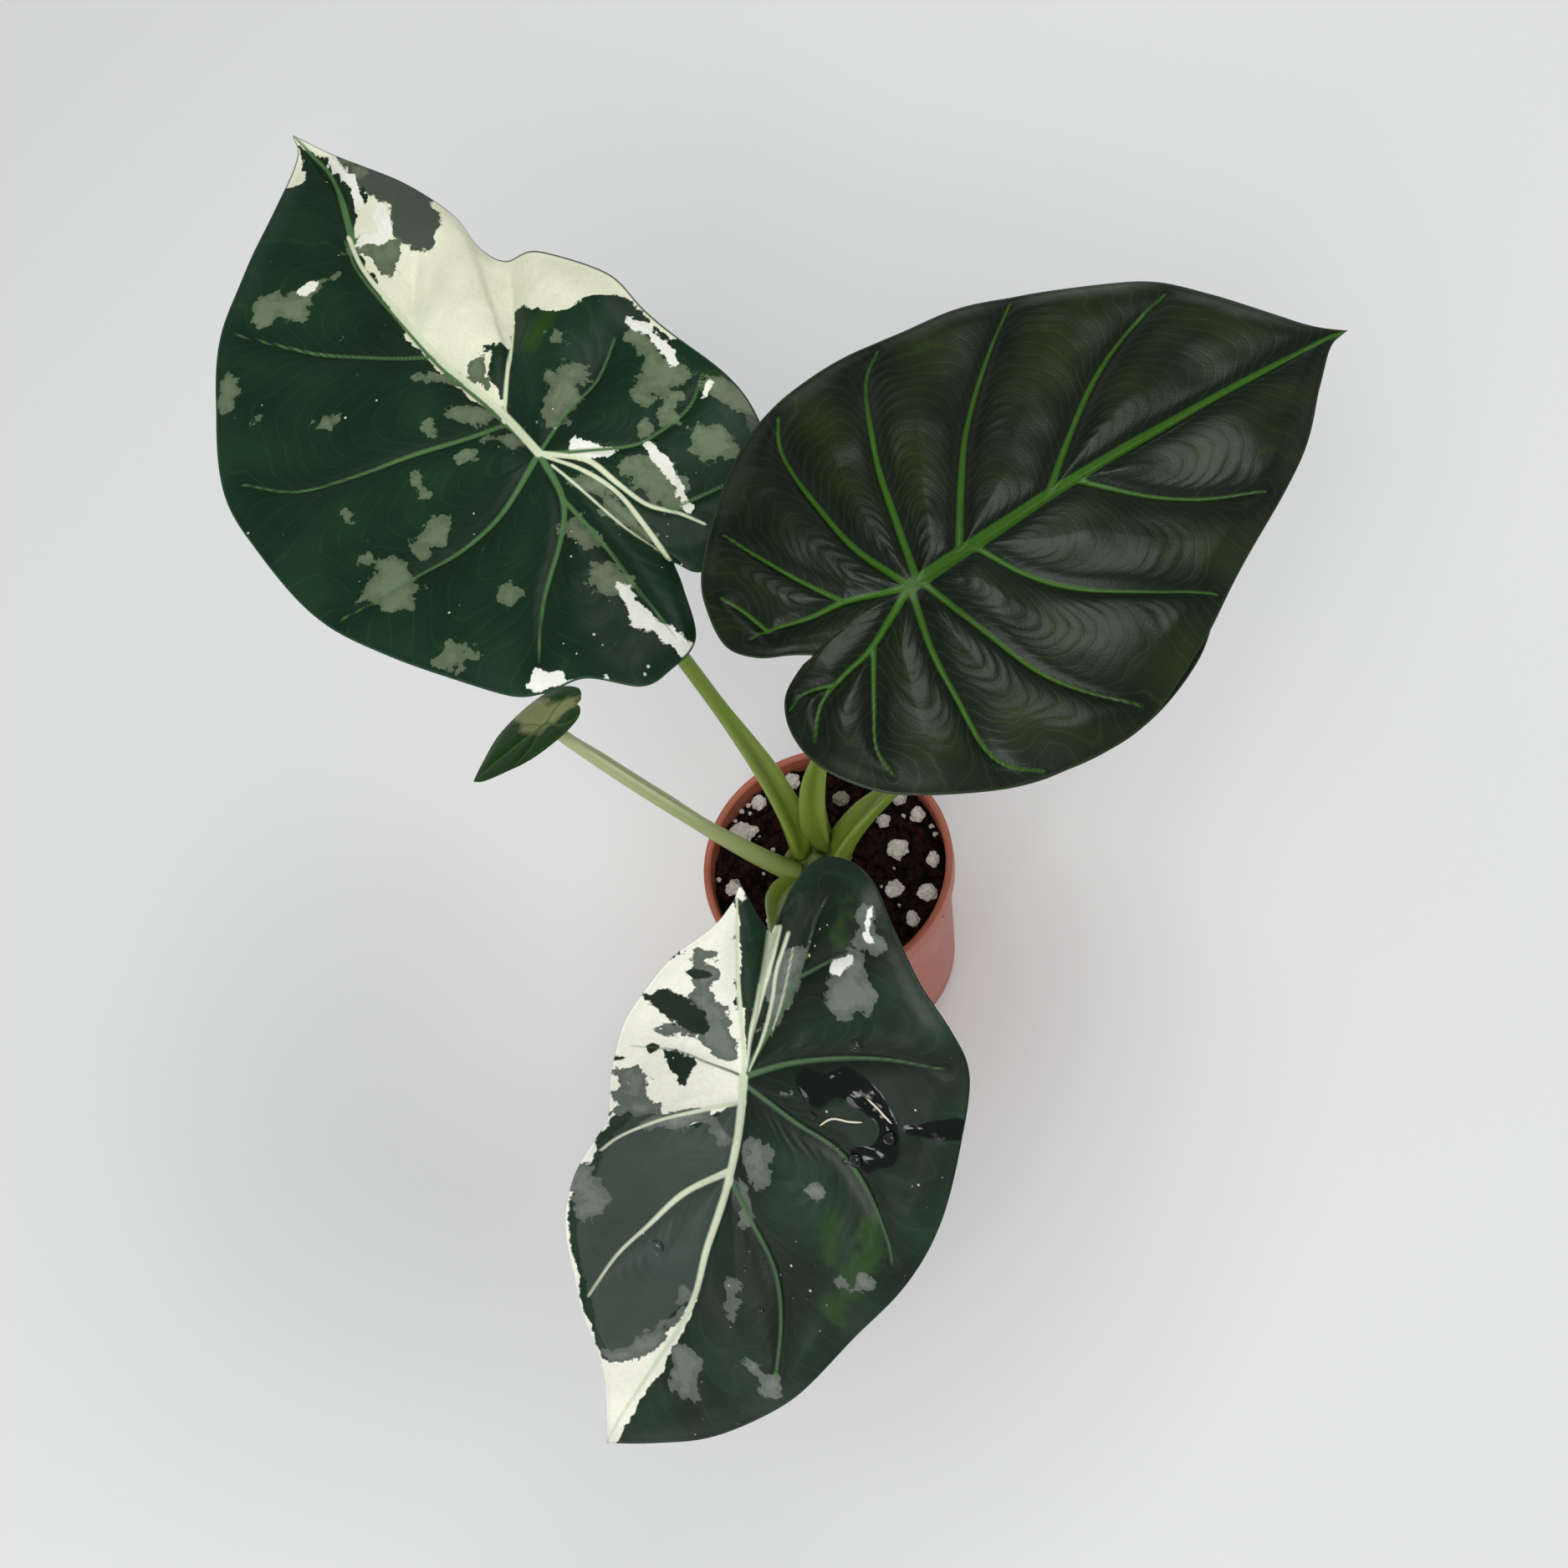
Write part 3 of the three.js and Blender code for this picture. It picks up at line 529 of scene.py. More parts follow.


# Alocasia blade: a waxy cuticle over dark green tissue, smooth enough to take a soft sheen.
# Where the tissue has no chlorophyll it is cream, where it has a little it is grey-green; one
# grey-green area on the wet blade is a painted sheen instead.
def bladeMaterial(name, look):
    material, tree, surface = newMaterial(name, {"Specular IOR Level": look["specular"]})
    place = addNode(tree, "ShaderNodeAttribute", {"attribute_name": "place"}).outputs["Vector"]
    fields = {}
    for field in ("veinGap", "ribGap", "creamGap", "greyAndSheenGap", "oliveGap", "blotchGap",
                  "islandGap", "whiteGap", "wetGap", "veinlet", "edgeGap"):
        fields[field] = addNode(tree, "ShaderNodeAttribute", {"attribute_name": field}).outputs["Fac"]
    grains = {}
    for grain, sizeMm, detail, rough in (("broad", 38, 3, 0.5), ("ragged", 9, 8, 0.62),
                                         ("fine", 1.3, 4, 0.6)):
        grains[grain] = addNode(
            tree, "ShaderNodeTexNoise",
            {"Scale": 1 / (sizeMm * mm), "Detail": detail, "Roughness": rough},
            {"Vector": place}).outputs["Fac"]

    # darkest along the veins, lighter in drifts between them: partly the tissue's own tinge, partly
    # painted shade along the sunk veins and painted sheen on the swells between them
    drift = addNode(tree, "ShaderNodeMapRange", {
        "From Min": 0.38, "From Max": 0.62, "To Min": 0.3}, {"Value": grains["broad"]}).outputs[0]
    lane = addNode(tree, "ShaderNodeMapRange", {"From Min": -11.0, "From Max": -0.5, "To Max": 0.0},
                   {"Value": fields["veinGap"], "To Min": drift}).outputs[0]
    colour = addNode(tree, "ShaderNodeMix", {
        "data_type": "RGBA", 6: linearColour(look["deep"]), 7: linearColour(look["green"])},
        {0: lane}).outputs[2]

    # fine side veins: thin lines one gap apart that bow out from vein to vein
    wander = addNode(tree, "ShaderNodeMath", {"operation": "MULTIPLY_ADD", 1: 4.0},
                     {0: grains["ragged"], 2: fields["veinlet"]}).outputs[0]
    line = addNode(tree, "ShaderNodeMath", {"operation": "PINGPONG", 1: look["veinletGap"] / 2},
                   {0: wander}).outputs[0]
    patchy = addNode(tree, "ShaderNodeMapRange", {
        "From Min": 0.35, "From Max": 0.65, "To Min": 0.15, "To Max": look["veinletShow"]},
        {"Value": grains["broad"]}).outputs[0]
    veinlets = addNode(tree, "ShaderNodeMapRange", {
        "From Min": 0.0, "From Max": 0.55, "To Max": 0.0},
        {"Value": line, "To Min": patchy}).outputs[0]
    colour = addNode(tree, "ShaderNodeMix", {
        "data_type": "RGBA", 7: linearColour(look["vein"])}, {0: veinlets, 6: colour}).outputs[2]

    # each layer of tissue ends at its outline, made ragged by noise, or at an inset from it
    for field, shade, ragged, soft, *inset in look["layers"]:
        grain = grains["ragged"] if ragged > 1 else grains["broad"]
        shifted = addNode(tree, "ShaderNodeMath", {"operation": "MULTIPLY_ADD", 1: 2 * ragged},
                          {0: grain, 2: fields[field]}).outputs[0]
        mask = addNode(tree, "ShaderNodeMapRange", {
            "From Min": ragged - soft + sum(inset), "From Max": ragged + soft + sum(inset)},
            {"Value": shifted}).outputs[0]
        colour = addNode(tree, "ShaderNodeMix", {
            "data_type": "RGBA", 7: linearColour(shade)}, {0: mask, 6: colour}).outputs[2]

    if look["specks"]:
        # pinpricks of white tissue, in drifts
        dots = addNode(tree, "ShaderNodeTexVoronoi", {"Scale": 1 / (5 * mm)}, {"Vector": place})
        reach = addNode(tree, "ShaderNodeMath", {"operation": "MULTIPLY_ADD", 1: 0.6},
                        {0: grains["broad"], 2: dots.outputs["Distance"]}).outputs[0]
        dot = addNode(tree, "ShaderNodeMapRange", {"From Min": 0.33, "From Max": 0.28},
                      {"Value": reach}).outputs[0]
        colour = addNode(tree, "ShaderNodeMix", {
            "data_type": "RGBA", 7: linearColour("#cfd6bd")}, {0: dot, 6: colour}).outputs[2]

    # tissue is never one even tone
    tint = addNode(tree, "ShaderNodeMapRange", {
        "From Min": 0.3, "From Max": 0.75, "To Min": 0.92, "To Max": 1.05},
        {"Value": grains["fine"]}).outputs[0]
    colour = addNode(tree, "ShaderNodeMix", {
        "data_type": "RGBA", "blend_type": "MULTIPLY", 0: 1.0},
        {6: colour, 7: tint}).outputs[2]
    tone = addNode(tree, "ShaderNodeMapRange", {
        "From Min": 0.38, "From Max": 0.62, "To Min": 0.88, "To Max": 1.08},
        {"Value": grains["broad"]}).outputs[0]
    colour = addNode(tree, "ShaderNodeMix", {
        "data_type": "RGBA", "blend_type": "MULTIPLY", 0: 1.0},
        {6: colour, 7: tone}).outputs[2]
    if look.get("rim"):
        rim = addNode(tree, "ShaderNodeMapRange", {
            "From Min": 0.9, "From Max": 0.3}, {"Value": fields["edgeGap"]}).outputs[0]
        colour = addNode(tree, "ShaderNodeMix", {
            "data_type": "RGBA", 7: linearColour(look["rim"])}, {0: rim, 6: colour}).outputs[2]
    rough = addNode(tree, "ShaderNodeMapRange", {
        "To Min": look["rough"] - 0.06, "To Max": look["rough"] + 0.1},
        {"Value": grains["ragged"]}).outputs[0]
    if look.get("wet"):
        wet = addNode(tree, "ShaderNodeMapRange", {
            "From Min": -0.4, "From Max": 0.4}, {"Value": fields["wetGap"]}).outputs[0]
        rough = addNode(tree, "ShaderNodeMix", {2: 0.0, 3: 0.04}, {0: wet, 2: rough}).outputs[0]
        dark = addNode(tree, "ShaderNodeMath", {"operation": "MULTIPLY", 1: 0.9}, {0: wet}).outputs[0]
        colour = addNode(tree, "ShaderNodeMix", {
            "data_type": "RGBA", 7: linearColour(look["wet"])}, {0: dark, 6: colour}).outputs[2]
    tree.links.new(colour, surface.inputs["Base Color"])
    tree.links.new(rough, surface.inputs["Roughness"])

    # relief too fine for the mesh: side veins and the cells between them
    cells = addNode(tree, "ShaderNodeTexVoronoi", {
        "feature": "DISTANCE_TO_EDGE", "Scale": 1 / (1.6 * mm)}, {"Vector": place}).outputs["Distance"]
    cells = addNode(tree, "ShaderNodeMath", {"operation": "MULTIPLY", 1: 0.4}, {0: cells}).outputs[0]
    heights = addNode(tree, "ShaderNodeMath", {"operation": "MULTIPLY_ADD", 1: -look["veinletDip"]},
                      {0: veinlets, 2: cells}).outputs[0]
    if look.get("wet"):
        heights = addNode(tree, "ShaderNodeMix", {}, {
            0: wet, 2: heights, 3: grains["ragged"]}).outputs[0]
    bump = addNode(tree, "ShaderNodeBump", {"Strength": look["bump"], "Distance": 0.35 * mm},
                   {"Height": heights})
    tree.links.new(bump.outputs["Normal"], surface.inputs["Normal"])
    return material


# Tissue over the green, from the deepest layer up: gap field and colour, then raggedness,
# softness and any inset in mm
variegatedLayers = [
    ("oliveGap", "#24420f", 9, 2.5), ("creamGap", "#e0e1c6", 5, 0.2),
    ("greyAndSheenGap", "#434c41", 7, 0.4), ("blotchGap", "#58654d", 11, 0.2),
    ("blotchGap", "#65725a", 15, 1.2, 2.6),
    ("islandGap", "#0c2812", 9, 0.2), ("whiteGap", "#e6e7da", 6, 0.2),
    ("veinGap", "#4a6e40", 0.3, 0.35), ("ribGap", "#d2dab8", 0.3, 0.3)]
wetLayers = [
    ("oliveGap", "#203c0e", 9, 2.0), ("creamGap", "#ebebdb", 3, 0.2),
    # the grey-green layer on the wet blade is a painted sheen
    ("greyAndSheenGap", "#36423b", 3, 0.3), ("blotchGap", "#596159", 9, 0.2),
    ("blotchGap", "#6a726a", 13, 1.2, 2.6),
    ("islandGap", "#0a2011", 6, 0.2), ("whiteGap", "#f2f2ea", 4, 0.2),
    ("veinGap", "#4a6644", 0.3, 0.4), ("ribGap", "#ccd4b8", 0.3, 0.3)]
looks = dict(
    variegated=dict(deep="#0a2211", green="#12311b", vein="#2f5634", veinletGap=8,
                    veinletShow=0.19, veinletDip=0.5, rough=0.44, bump=0.25, specular=0.17,
                    specks=True, layers=variegatedLayers, rim="#22402a"),
    wet=dict(deep="#05160a", green="#132d19", vein="#2f4d34", veinletGap=8,
             veinletShow=0.21, veinletDip=0.5, rough=0.36, bump=0.25, specular=0.24,
             specks=True, wet="#010302", layers=wetLayers),
    green=dict(deep="#030f02", green="#1d270b", vein="#2e4a12", veinletGap=5.2,
               veinletShow=0.3, veinletDip=0.7, rough=0.34, bump=0.35, specular=0.24,
               specks=False, layers=[("veinGap", "#315a0b", 0.25, 0.3)], rim="#22331a"),
    young=dict(deep="#0e3404", green="#1f4a0a", vein="#38601c", veinletGap=5,
               veinletShow=0.3, veinletDip=0.5, rough=0.46, bump=0.25, specular=0.15,
               specks=False, layers=[("creamGap", "#8b8f5e", 5, 1.6),
                                     ("veinGap", "#46682a", 0.3, 0.5)]),
)
underLayers = [("creamGap", "#d2d2b2", 6, 0.4), ("blotchGap", "#8d9a7c", 11, 0.4),
               ("islandGap", "#4c6a42", 9, 0.4), ("whiteGap", "#d5d7c4", 5, 0.4),
               ("veinGap", "#86a05a", 0.3, 0.5), ("ribGap", "#b3bf86", 0.3, 0.5)]
underLooks = {skin: dict(look, deep="#3e5a38", green="#4d6c42", vein="#7f9a62", rough=0.5,
                         layers=underLayers, wet=None, rim=None, specks=False)
              for skin, look in looks.items()}

for number, leaf in enumerate(leaves, 1):
    piece = wrappedGrid(f"blade{number}", leaf["samples"], leaf["rows"],
                        bladeShape(number, leaf))
    skin = leaf["skin"]
    for look, side in ((looks[skin], "Top"), (underLooks[skin], "Underside")):
        name = f"{skin}Blade{side}"
        piece.data.materials.append(bpy.data.materials.get(name) or bladeMaterial(name, look))
    thickness = piece.vertex_groups.new(name="thickness")
    weights = np.empty(len(piece.data.vertices))
    piece.data.attributes["thick"].data.foreach_get("value", weights)
    for index, weight in enumerate(weights):
        thickness.add([index], float(weight), "REPLACE")
    shell = piece.modifiers.new("shell", "SOLIDIFY")
    shell.thickness = bladeThick * mm
    shell.offset = -1
    shell.vertex_group = "thickness"
    shell.thickness_vertex_group = bladeThin / bladeThick
    shell.material_offset = 1
    bpy.ops.object.modifier_apply(modifier="shell")
    piece.vertex_groups.clear()
    placeInFrame(piece, f"leaf_blade_{number}")
    print("blade", number, "has", len(piece.data.polygons), "faces")


# Stalks, in mm: they taper from a sheathed foot on the crown to the underside of a blade
stalk = dict(footRadius=4.7, midRadius=3.4, topRadius=2.6, sheathShare=0.42, spacing=64,
             sides=40, steps=150, wing=0.95, dip=0.42, channel=0.1, flare=0.35,
             sheath=(0.01, 0.09, 0.24, 0.5))   # shares where it begins, is full, narrows, ends
cadGap = 0.3
crownLow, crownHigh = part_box("crown")
crownMiddle = boxCentre("crown")
stalkRing = (stalk["footRadius"] + cadGap) / math.sin(math.radians(stalk["spacing"] / 2))


def stalkLine(number, leaf):
    axes, seat = bladeAxes(leaf), bladeSeat(number, leaf)
    angle = math.radians(leaf["foot"])
    foot = np.array([crownMiddle[0] + stalkRing * math.cos(angle),
                     crownMiddle[1] + stalkRing * math.sin(angle),
                     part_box(f"petiole_{number}")[0].z / mm])
    top = seat - axes[2] * (cadHalfBlade - 0.1)
    controls = [foot, foot + np.array(leaf["start"]), top - axes[2] * leaf["reach"], top]
    t = np.linspace(0, 1, 600)[:, None]
    fine = ((1 - t) ** 3 * controls[0] + 3 * (1 - t) ** 2 * t * controls[1]
            + 3 * (1 - t) * t ** 2 * controls[2] + t ** 3 * controls[3])
    run = np.concatenate([[0], np.cumsum(np.linalg.norm(np.diff(fine, axis=0), axis=1))])
    stops = np.linspace(0, run[-1], stalk["steps"] + 1)
    return np.stack([np.interp(stops, run, fine[:, axis]) for axis in range(3)], axis=1)


def stalkShape(number, leaf):
    line = stalkLine(number, leaf)
    tangents = np.gradient(line, axis=0)
    tangents /= np.linalg.norm(tangents, axis=1)[:, None]
    opening = math.radians(leaf["foot"] + 180)     # the sheath opens to the middle of the plant
    facing = np.array([math.cos(opening), math.sin(opening), 0.0])
    toward = facing - (tangents @ facing)[:, None] * tangents
    toward /= np.linalg.norm(toward, axis=1)[:, None]
    aside = np.cross(tangents, toward)
    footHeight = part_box(f"petiole_{number}")[0].z / mm
    rows = stalk["steps"] + 2

    def shape(turn, out):
        # the first and last rows close the ends
        closed = (out < 0.5 / rows) | (out > 1 - 0.5 / rows)
        step = np.clip(np.floor(out * rows - 1), 0, stalk["steps"]).astype(int)
        share = step / stalk["steps"]
        upper = stalk["topRadius"] + (stalk["midRadius"] - stalk["topRadius"]) * (1 - share)
        sheath = np.clip(1 - share / stalk["sheathShare"], 0, 1)
        radius = upper + (stalk["footRadius"] - stalk["midRadius"]) * sheath
        angle = turn * 2 * math.pi
        fromMouth = np.abs((angle + math.pi) % (2 * math.pi) - math.pi)
        rise, full, fall, end = leaf.get("sheath", stalk["sheath"])
        wings = softStep(rise, full, share) * (1 - softStep(fall, end, share))
        groove = stalk["channel"] + (stalk["dip"] - stalk["channel"]) * wings
        wingOut = leaf.get("wing", stalk["wing"]) * wings
        section = (1 - groove * np.exp(-(fromMouth / 0.5) ** 2)
                   + wingOut * np.exp(-((fromMouth - 0.85) / 0.2) ** 2))
        flare = 1 + stalk["flare"] * softStep(0.97, 1.0, share)
        radius = np.where(closed, 0, radius * section * flare)
        places = (line[step] + toward[step] * (radius * np.cos(angle))[:, None]
                  + aside[step] * (radius * np.sin(angle))[:, None])
        places[:, 2] = np.maximum(places[:, 2], footHeight - 0.2)
        fields = dict(
            along=np.column_stack([np.cos(angle), np.sin(angle), share * 2.0]),
            share=share, wing=wings * np.exp(-((fromMouth - 0.9) / 0.35) ** 2))
        return places, fields

    return shape


# Alocasia stalk: fleshy, smooth and faintly waxy, with pale streaks that run its length.
# The sheath at its foot thins to a nearly white papery edge.
def stalkMaterial(name, look):
    material, tree, surface = newMaterial(name, {
        "Roughness": 0.42, "Subsurface Weight": 0.15, "Subsurface Radius": (0.6, 1.0, 0.3),
        "Subsurface Scale": 2 * mm})
    along = addNode(tree, "ShaderNodeAttribute", {"attribute_name": "along"}).outputs["Vector"]
    share = addNode(tree, "ShaderNodeAttribute", {"attribute_name": "share"}).outputs["Fac"]
    wing = addNode(tree, "ShaderNodeAttribute", {"attribute_name": "wing"}).outputs["Fac"]
    streaks = addNode(tree, "ShaderNodeTexNoise", {"Scale": 9.0, "Detail": 6.0},
                      {"Vector": addNode(tree, "ShaderNodeMapping", {"Scale": (1, 1, 0.12)},
                                         {"Vector": along}).outputs[0]}).outputs["Fac"]
    height = addNode(tree, "ShaderNodeValToRGB", {}, {"Fac": share})
    ramp = height.color_ramp.elements
    ramp[0].color, ramp[1].color = linearColour(look["foot"]), linearColour(look["top"])
    middle = ramp.new(0.3)
    middle.color = linearColour(look["middle"])
    streak = addNode(tree, "ShaderNodeMapRange", {
        "From Min": 0.5, "From Max": 0.72, "To Max": 0.4}, {"Value": streaks}).outputs[0]
    colour = addNode(tree, "ShaderNodeMix", {"data_type": "RGBA", 7: linearColour(look["streak"])},
                     {0: streak, 6: height.outputs["Color"]}).outputs[2]
    edge = addNode(tree, "ShaderNodeMapRange", {"From Max": 0.9, "To Max": 0.75},
                   {"Value": wing}).outputs[0]
    colour = addNode(tree, "ShaderNodeMix", {"data_type": "RGBA", 7: linearColour(look["sheath"])},
                     {0: edge, 6: colour}).outputs[2]
    tree.links.new(colour, surface.inputs["Base Color"])
    bump = addNode(tree, "ShaderNodeBump", {"Strength": 0.25, "Distance": 0.3 * mm},
                   {"Height": streaks})
    tree.links.new(bump.outputs["Normal"], surface.inputs["Normal"])
    return material


oliveStalk = stalkMaterial("oliveStalk", dict(foot="#8da03a", middle="#5f7a12", top="#7c8c34",
                                              streak="#8ba034", sheath="#97a84e"))
paleStalk = stalkMaterial("paleStalk", dict(foot="#8c9c48", middle="#98a468", top="#aeb287",
                                            streak="#b3b890", sheath="#bcc19a"))
for number, leaf in enumerate(leaves, 1):
    piece = wrappedGrid(f"stalk{number}", stalk["sides"], stalk["steps"] + 2,
                        stalkShape(number, leaf))
    turnOutwards(piece)
    piece.data.materials.append(paleStalk if number == 4 else oliveStalk)
    placeInFrame(piece, f"petiole_{number}")
print("five stalks")


# Crown: the short corm top that the stalks rise from, with a bud at its middle
crown = dict(sides=64, rows=40, budTall=10, budRadius=4.2, scars=9, scarDepth=0.03)


def crownShape(turn, out):
    radius = (crownHigh.x - crownLow.x) / 2 / mm
    low, high = crownLow.z / mm, crownHigh.z / mm
    flat = high - crown["budTall"]
    # out runs from the underside's middle, round the shoulder, to the bud's tip
    profile = evenLine([(0, low, 0), (radius * 0.55, low + 0.5, 0), (radius * 0.9, low + 6, 0),
                        (radius, flat - 3, 0), (radius * 0.96, flat - 0.6, 0),
                        (radius * 0.6, flat, 0), (crown["budRadius"], flat + 0.2, 0),
                        (crown["budRadius"] - 0.3, flat + 4, 0),
                        (2, high - 1.5, 0), (0, high, 0)], crown["rows"])
    spot = profile[np.round(out * crown["rows"]).astype(int)]
    angle = -turn * 2 * math.pi
    scars = np.sin(crown["scars"] * angle + spot[:, 1]) * (spot[:, 0] > 0.5)
    rings = 1 + crown["scarDepth"] * scars
    places = np.column_stack([crownMiddle[0] + spot[:, 0] * rings * np.cos(angle),
                              crownMiddle[1] + spot[:, 0] * rings * np.sin(angle), spot[:, 1]])
    return places, {}


# Corm top: dull green flesh scarred by the rings of old sheaths
corm, tree, surface = newMaterial("cormTissue", {"Roughness": 0.6})
place = addNode(tree, "ShaderNodeTexCoord").outputs["Object"]
scars = addNode(tree, "ShaderNodeTexNoise", {"Scale": 1 / (4 * mm), "Detail": 6.0},
                {"Vector": place}).outputs["Fac"]
colour = addNode(tree, "ShaderNodeMix", {
    "data_type": "RGBA", 6: linearColour("#4f5a2c"), 7: linearColour("#98a25c")}, {0: scars})
tree.links.new(colour.outputs[2], surface.inputs["Base Color"])
bump = addNode(tree, "ShaderNodeBump", {"Strength": 0.5, "Distance": 0.6 * mm}, {"Height": scars})
tree.links.new(bump.outputs["Normal"], surface.inputs["Normal"])
piece = wrappedGrid("crownTop", crown["sides"], crown["rows"], crownShape)
turnOutwards(piece)
piece.data.materials.append(corm)
placeInFrame(piece, "crown")


# Pot, in mm: a tapering wall with a thicker band round the mouth and drain holes in its foot
pot = dict(sides=120, footRadius=45, bandTall=12, overhang=1.6, wall=1.4, floor=2, holes=8,
           holeRadius=3.4, holeRing=28.5, channelInner=20, channelOuter=37, channelDeep=0.9,
           smoothBelow=32)
potLow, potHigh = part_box("nursery_pot")
potTop = (potHigh.x - potLow.x) / 2 / mm
potTall = potHigh.z / mm
potFoot = pot["footRadius"]
band = potTall - pot["bandTall"]
deep = pot["channelDeep"]


def potWallRadius(height):
    return potFoot + (potTop - pot["overhang"] - potFoot) * height / potTall


def insideRadius(height):
    return potWallRadius(height) - pot["wall"]


# Rings from the middle of the underside out, up the wall, over the band's round lip and inside
potRings = [
    (pot["channelInner"], 0), (pot["channelInner"] + deep, deep),
    (pot["channelOuter"] - deep, deep), (pot["channelOuter"], 0),
    (potFoot - 1.2, 0), (potFoot - 0.35, 0.25), (potFoot, 1.1),
    (potWallRadius(30), 30), (potWallRadius(60), 60), (potWallRadius(band - 1), band - 1),
    (potWallRadius(band) + 0.2, band - 0.2), (potTop - 0.35, band + 0.5), (potTop, band + 1),
    (potTop, potTall - 1.3), (potTop - 0.2, potTall - 0.5), (potTop - 0.75, potTall - 0.08),
    (potTop - 1.4, potTall), (potTop - 2.1, potTall - 0.1),
    (insideRadius(potTall), potTall - 0.9), (insideRadius(band), band), (insideRadius(50), 50),
    (insideRadius(4), 4), (insideRadius(pot["floor"]) - 1.6, pot["floor"]),
]
bpy.ops.object.select_all(action="DESELECT")
bpy.ops.mesh.primitive_circle_add(vertices=pot["sides"], radius=potRings[0][0] * mm,
                                  fill_type="NGON", location=(0, 0, 0))
piece = bpy.context.object
piece.name = "nurseryPotShell"
bpy.ops.object.mode_set(mode="EDIT")
bpy.ops.mesh.select_mode(type="EDGE")
work = bmesh.from_edit_mesh(piece.data)
bpy.ops.mesh.select_all(action="DESELECT")
for edge in work.edges:
    edge.select_set(True)
bmesh.update_edit_mesh(piece.data)
bpy.ops.mesh.region_to_loop()
for (radius, height), (nextRadius, nextHeight) in zip(potRings, potRings[1:]):
    bpy.ops.mesh.extrude_edges_move(
        TRANSFORM_OT_translate={"value": (0, 0, (nextHeight - height) * mm)})
    ratio = nextRadius / radius
    bpy.ops.transform.resize(value=(ratio, ratio, 1), center_override=(0, 0, nextHeight * mm))
bpy.ops.mesh.edge_face_add()
bpy.ops.mesh.select_all(action="SELECT")
bpy.ops.mesh.normals_make_consistent(inside=False)
bpy.ops.object.mode_set(mode="OBJECT")
potShell = piece

bpy.ops.object.select_all(action="DESELECT")
bpy.ops.mesh.primitive_cylinder_add(vertices=24, radius=pot["holeRadius"] * mm, depth=8 * mm,
                                    location=(pot["holeRing"] * mm, 0, 0))
drill = bpy.context.object
for hole in range(pot["holes"]):
    angle = hole * 2 * math.pi / pot["holes"]
    drill.location = Vector((math.cos(angle), math.sin(angle), 0)) * pot["holeRing"] * mm
    bpy.context.view_layer.update()
    bpy.context.view_layer.objects.active = potShell
    cut = potShell.modifiers.new("drain", "BOOLEAN")
    cut.operation, cut.object, cut.solver = "DIFFERENCE", drill, "EXACT"
    bpy.ops.object.modifier_apply(modifier="drain")
bpy.data.objects.remove(drill)
selectOnly(potShell)
bpy.ops.object.shade_smooth_by_angle(angle=math.radians(pot["smoothBelow"]))

# Injection-moulded polypropylene, terracotta coloured: satin, with a faint moulded grain and
# vertical streaks that vary the gloss and are painted lighter, a painted reflection down the wall
plastic, tree, surface = newMaterial("terracottaPolypropylene")
place = addNode(tree, "ShaderNodeTexCoord").outputs["Object"]
cloud = addNode(tree, "ShaderNodeTexNoise", {"Scale": 1 / (30 * mm), "Detail": 5.0},
                {"Vector": place}).outputs["Fac"]
grain = addNode(tree, "ShaderNodeTexNoise", {"Scale": 1 / (0.8 * mm), "Detail": 3.0},
                {"Vector": place}).outputs["Fac"]
stretched = addNode(tree, "ShaderNodeMapping", {"Scale": (1, 1, 0.08)}, {"Vector": place}).outputs[0]
scuffAndReflectionStreaks = addNode(tree, "ShaderNodeTexNoise", {"Scale": 1 / (5 * mm), "Detail": 8.0,
                                              "Roughness": 0.7}, {"Vector": stretched}).outputs["Fac"]
colour = addNode(tree, "ShaderNodeMix", {
    "data_type": "RGBA", 6: linearColour("#a4553f"), 7: linearColour("#bd6d56")}, {0: cloud}).outputs[2]
# painted reflection: the vertical streaks are painted a lighter terracotta, as where the glossy wall
# reflects the light
paintedReflectionStreaks = addNode(tree, "ShaderNodeMapRange", {"From Min": 0.58, "From Max": 0.8, "To Max": 0.35},
               {"Value": scuffAndReflectionStreaks}).outputs[0]
colour = addNode(tree, "ShaderNodeMix", {"data_type": "RGBA", 7: linearColour("#c98a78")},
                 {0: paintedReflectionStreaks, 6: colour}).outputs[2]
tree.links.new(colour, surface.inputs["Base Color"])
rough = addNode(tree, "ShaderNodeMapRange", {"To Min": 0.34, "To Max": 0.52}, {"Value": scuffAndReflectionStreaks})
tree.links.new(rough.outputs[0], surface.inputs["Roughness"])
bump = addNode(tree, "ShaderNodeBump", {"Strength": 0.12, "Distance": 0.2 * mm}, {"Height": grain})
tree.links.new(bump.outputs["Normal"], surface.inputs["Normal"])
potShell.data.materials.append(plastic)
placeInFrame(potShell, "nursery_pot")
print("pot")


# Growing mix, in mm: crumbly on top, and a plain plug inside the pot
mix = dict(rings=90, sides=180, lump=1.1, grainLump=0.55, footStep=5.5, crownClear=15.2,
           topShare=0.86, wallShare=0.08)      # shares of the rows on top and down the side
mixLow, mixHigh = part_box("potting_mix")
mixTop = mixHigh.z / mm
mixRadius = (mixHigh.x - mixLow.x) / 2 / mm


def mixHeight(x, y):
    spot = Vector((x, y, 0))
    return (mix["lump"] * noise.noise(spot / 11) + mix["grainLump"] * noise.noise(spot / 2.6)
            + 0.3 * noise.noise(spot / 1.1))


